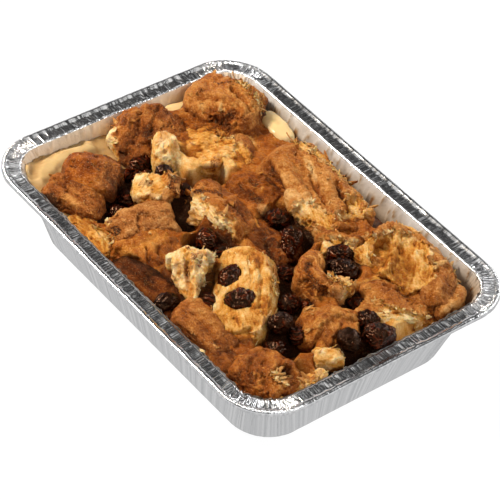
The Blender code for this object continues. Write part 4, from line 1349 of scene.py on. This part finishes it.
# The record's openings stay open: the bed sinks there.
for opening in frame["record"]["physics"]["openings"]:
    low, high = (np.array(end[:2]) / MM for end in opening["box_m"])
    outside = np.maximum(np.maximum(low - flat, flat - high), 0)
    rise *= smooth_step(0.5, 4.0, np.linalg.norm(outside, axis=1))
points[:, 2] = BED_LEVEL + rise
bed_relief = 1.1 * lumps(points, 7.0, 3, 70.0) + 0.3 * lumps(points, 1.8, 2, 72.0)
bed_relief += 1.2 * (creases(points, 4.0, 3, 71.0) - 0.5)
crumb_patch = np.min([near_path(points, path) for path in CRUMB_PATHS], axis=0)
crumb_patch += 1.5 * lumps(points, 4.0, 2, 79.0)
crumb_patch = smooth_step(6.0, 3.5, crumb_patch) * smooth_step(0.5, 3.0, rise)
points[:, 2] += bed_relief * smooth_step(0.5, 3.0, rise) + 2.5 * crumb_patch
move_points(bed_mesh, inside_tray(points, 0.9))

# %% Soaked bread's paint
# It is crumb near pieces that are mostly crumb, and crust near the others.
UNKNOWN_COVER = dict(cover=0.3)
pale_tops = np.array([[PIECES.get(node, UNKNOWN_COVER)["cover"] for node in row] for row in on_top])
bed_score = 0.35 + 1.1 * read_map(blur(pale_tops, 3.5), points) + 0.7 * lumps(points, 6.0, 3, 73.0)
paint(bed_mesh, "crust", smooth_step(-0.1, 0.1, bed_score) * (1 - crumb_patch))
paint(bed_mesh, "toast", 0.25 * smooth_step(0.2, 0.7, lumps(points, 5.0, 3, 74.0)))
paint(bed_mesh, "glaze", np.full(len(points), 0.9))
# Where it meets a piece, and round each raisin, it is painted wet and dark, partly as painted shade.
# Its bumps are painted a little paler on top, as shade on the relief.
seam = np.exp(-(((read_map(heights, points) - points[:, 2]) / 1.6) ** 2))
hollow = read_map(raisin_hollow, points)
bed_tone = 0.46 + 0.25 * lumps(points, 8.0, 3, 75.0) + 0.1 * bed_relief
bed_tone += 0.2 * crumb_patch - 0.25 * seam * (1 - crumb_patch)
paint(bed_mesh, "tone", bed_tone - 0.6 * hollow)
bed_depth = read_map(open_height, points) - points[:, 2]
bed_soak_and_shade = smooth_step(3.0, 10.0, bed_depth + 1.5 * lumps(points, 4.0, 2, 76.0))
bed_soak_and_shade += 0.35 * seam + 0.7 * hollow
paint(bed_mesh, "soak_and_shade", np.clip(bed_soak_and_shade * (1 - 0.9 * crumb_patch), 0, 1))
show(bed_mesh, "soaked_bread", croissant)

# %% [markdown]
# ## Raisins
#
# A raisin is a grape that has lost its water: the skin keeps its area and folds into deep, branching
# wrinkles over a soft inside. Soaked and baked they are nearly black, glossy, a little red at the
# thin edges.

# %% Raisin finish
raisin_finish, tree, shader = new_material("soaked_raisin_skin")
RAISIN_BROWNS = ((0.0, "#050100"), (0.35, "#1A0602"), (0.7, "#581C05"), (1.0, "#B4641C"))
browns = ramp(tree, painted_value(tree, "tone"), RAISIN_BROWNS)
tree.links.new(browns, shader.inputs["Base Color"])
set_inputs(shader, Roughness=0.12, IOR=1.4, Specular_IOR_Level=0.5, Specular_Tint=linear("#FFB888"))
set_inputs(shader, Subsurface_Weight=0.15, Subsurface_Radius=(1.0, 0.3, 0.15), Subsurface_Scale=1.0 * MM)
tree.links.new(bumps(tree, speckles(tree, 1.2), 0.45), shader.inputs["Normal"])


# %% Raisins
def wrinkle_raisin(mesh, name, seed, light, nodes=()):
    """Folds the skin into branching wrinkles and paints it, paler where light is more, with painted light and
    shade on the folds: paler on their crests, darker in their creases.
    """
    points = points_of(mesh)
    normals = points_of(mesh, "normal")
    bent = points + 0.9 * np.stack([lumps(points, 3.5, 1, seed + k) for k in (4, 5, 6)], axis=1)
    folds = creases(along(bent, 50.0 * seed, 2.2), 1.7, 2, seed)
    bulge = lumps(points, 5.0, 1, seed + 0.5)
    wrinkled = points + normals * (0.95 * (folds - 0.6) + 0.7 * bulge)[:, None]
    move_points(mesh, inside_tray(wrinkled, 1.0))
    paint(mesh, "tone", light + 0.75 * (folds - 0.5) + 0.25 * lumps(points, 4.0, 2, seed + 3))
    return show(mesh, name, raisin_finish, nodes)


raisin_nodes = sorted(node for node in frame["nodes"] if node.startswith("raisin"))
BLACK_RAISINS = (1, 12, 18, 22, 26)
BLACK_LIGHT, BROWN_LIGHT = 0.06, 0.26
for node in raisin_nodes:
    number = int(node[-2:])
    light = BLACK_LIGHT if number in BLACK_RAISINS else BROWN_LIGHT
    wrinkle_raisin(even_copy(node, 0.34, rub=5, swell=0.6), node + "_skin", 40.0 + number, light, [node])
# A few more raisins are half sunk in the bread: (x, y, z) of the middle and length, in mm.
SUNK_RAISINS = ((54, -7, 33.5, 10.0), (-66, -21, 31.5, 10.0), (10, -32, 36.0, 6.0), (93, -4, 34.5, 6.0))
for number, (x, y, z, length) in enumerate(SUNK_RAISINS):
    bm = bmesh.new()
    bmesh.ops.create_icosphere(bm, subdivisions=5, radius=0.5 * length * MM)
    turn = Matrix.Rotation(1.3 * number, 4, "Z") @ Matrix.Diagonal((1.0, 0.7, 0.55, 1.0))
    bmesh.ops.transform(bm, matrix=Matrix.Translation(Vector((x, y, z)) * MM) @ turn, verts=bm.verts)
    mesh = mesh_from(bm, "sunk_raisin_" + str(number + 1))
    wrinkle_raisin(mesh, mesh.name, 70.0 + number, 0.15 if number > 1 else 0.4)
print("raisins:", len(raisin_nodes) + len(SUNK_RAISINS))

# %% [markdown]
# ## Custard
#
# Custard soaks the bread and sets between the pieces. Where it stays clear of them it is smooth, pale
# and glossy; round and under the pieces it browns and is full of crumb.

# %% Custard finish
custard_finish, tree, shader = new_material("set_custard")
pale = ramp(tree, speckles(tree, 7.0, 4.0), ((0.3, "#967040"), (0.7, "#B09264")))
creamy = mix(tree, painted_value(tree, "tone"), pale, "#E2C48C")
SOAKED_CUSTARD = ((0.3, "#2E1206"), (0.55, "#6A3412"), (0.75, "#A2642C"))
soaked_brown = ramp(tree, speckles(tree, 2.2, 5.0), SOAKED_CUSTARD)
tree.links.new(mix(tree, painted_value(tree, "toast"), creamy, soaked_brown), shader.inputs["Base Color"])
set_inputs(shader, Roughness=0.18, IOR=1.4)
set_inputs(shader, Subsurface_Weight=0.3, Subsurface_Radius=(1.0, 0.6, 0.3), Subsurface_Scale=2.5 * MM)

# %% Custard
# The custard has set in soft folds where it was poured into the corner.
CUSTARD_MARKS = (
    ("ridge", 4.0, 1.6, ((-99, -28), (-100, -46), (-96, -60), (-84, -68))),
    ("groove", 2.6, 1.0, ((-94, -28), (-96, -44), (-93, -55), (-84, -62))),
    ("ridge", 6.0, 1.5, ((-90, -26), (-91, -38), (-88, -50), (-82, -58))),
    ("groove", 4.0, 0.8, ((-85, -22), (-85, -34))),
)
mesh = even_copy("custard_filling", 1.0, rub=2, swell=0.0)
points = points_of(mesh)
normals = points_of(mesh, "normal")
folded_custard = marks_on(points, CUSTARD_MARKS, 79.0)["relief"] * smooth_step(0.3, 0.8, normals[:, 2])
swirl = 0.5 * lumps(along(points, 150, 2.0), 11.0, 2, 78.0) + folded_custard
move_points(mesh, inside_tray(points + normals * swirl[:, None], 0.7))
paint(mesh, "toast", 1 - clear_corner(points))
# Its ridges are painted paler as highlights and its grooves a little darker as shade.
paint(mesh, "tone", np.clip(0.08 + 0.3 * folded_custard, 0, 1))
show(mesh, "custard_filling_skin", custard_finish, ["custard_filling"])

for seed, node in enumerate(("custard_back", "custard_left", "custard_front")):
    mesh = even_copy(node, 0.7, rub=3)
    points = points_of(mesh)
    points += points_of(mesh, "normal") * (0.5 * lumps(points, 6.0, 2, 80.0 + seed))[:, None]
    move_points(mesh, inside_tray(points, 0.9))
    paint(mesh, "toast", 0.15 * smooth_step(0.1, 0.6, lumps(points, 5.0, 2, 90.0 + seed)))
    paint(mesh, "tone", np.full(len(points), 0.95))
    show(mesh, node + "_skin", custard_finish, [node])

# %% Finish
low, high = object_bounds()
print("visual box in mm:", [round(side / MM, 1) for side in high - low])
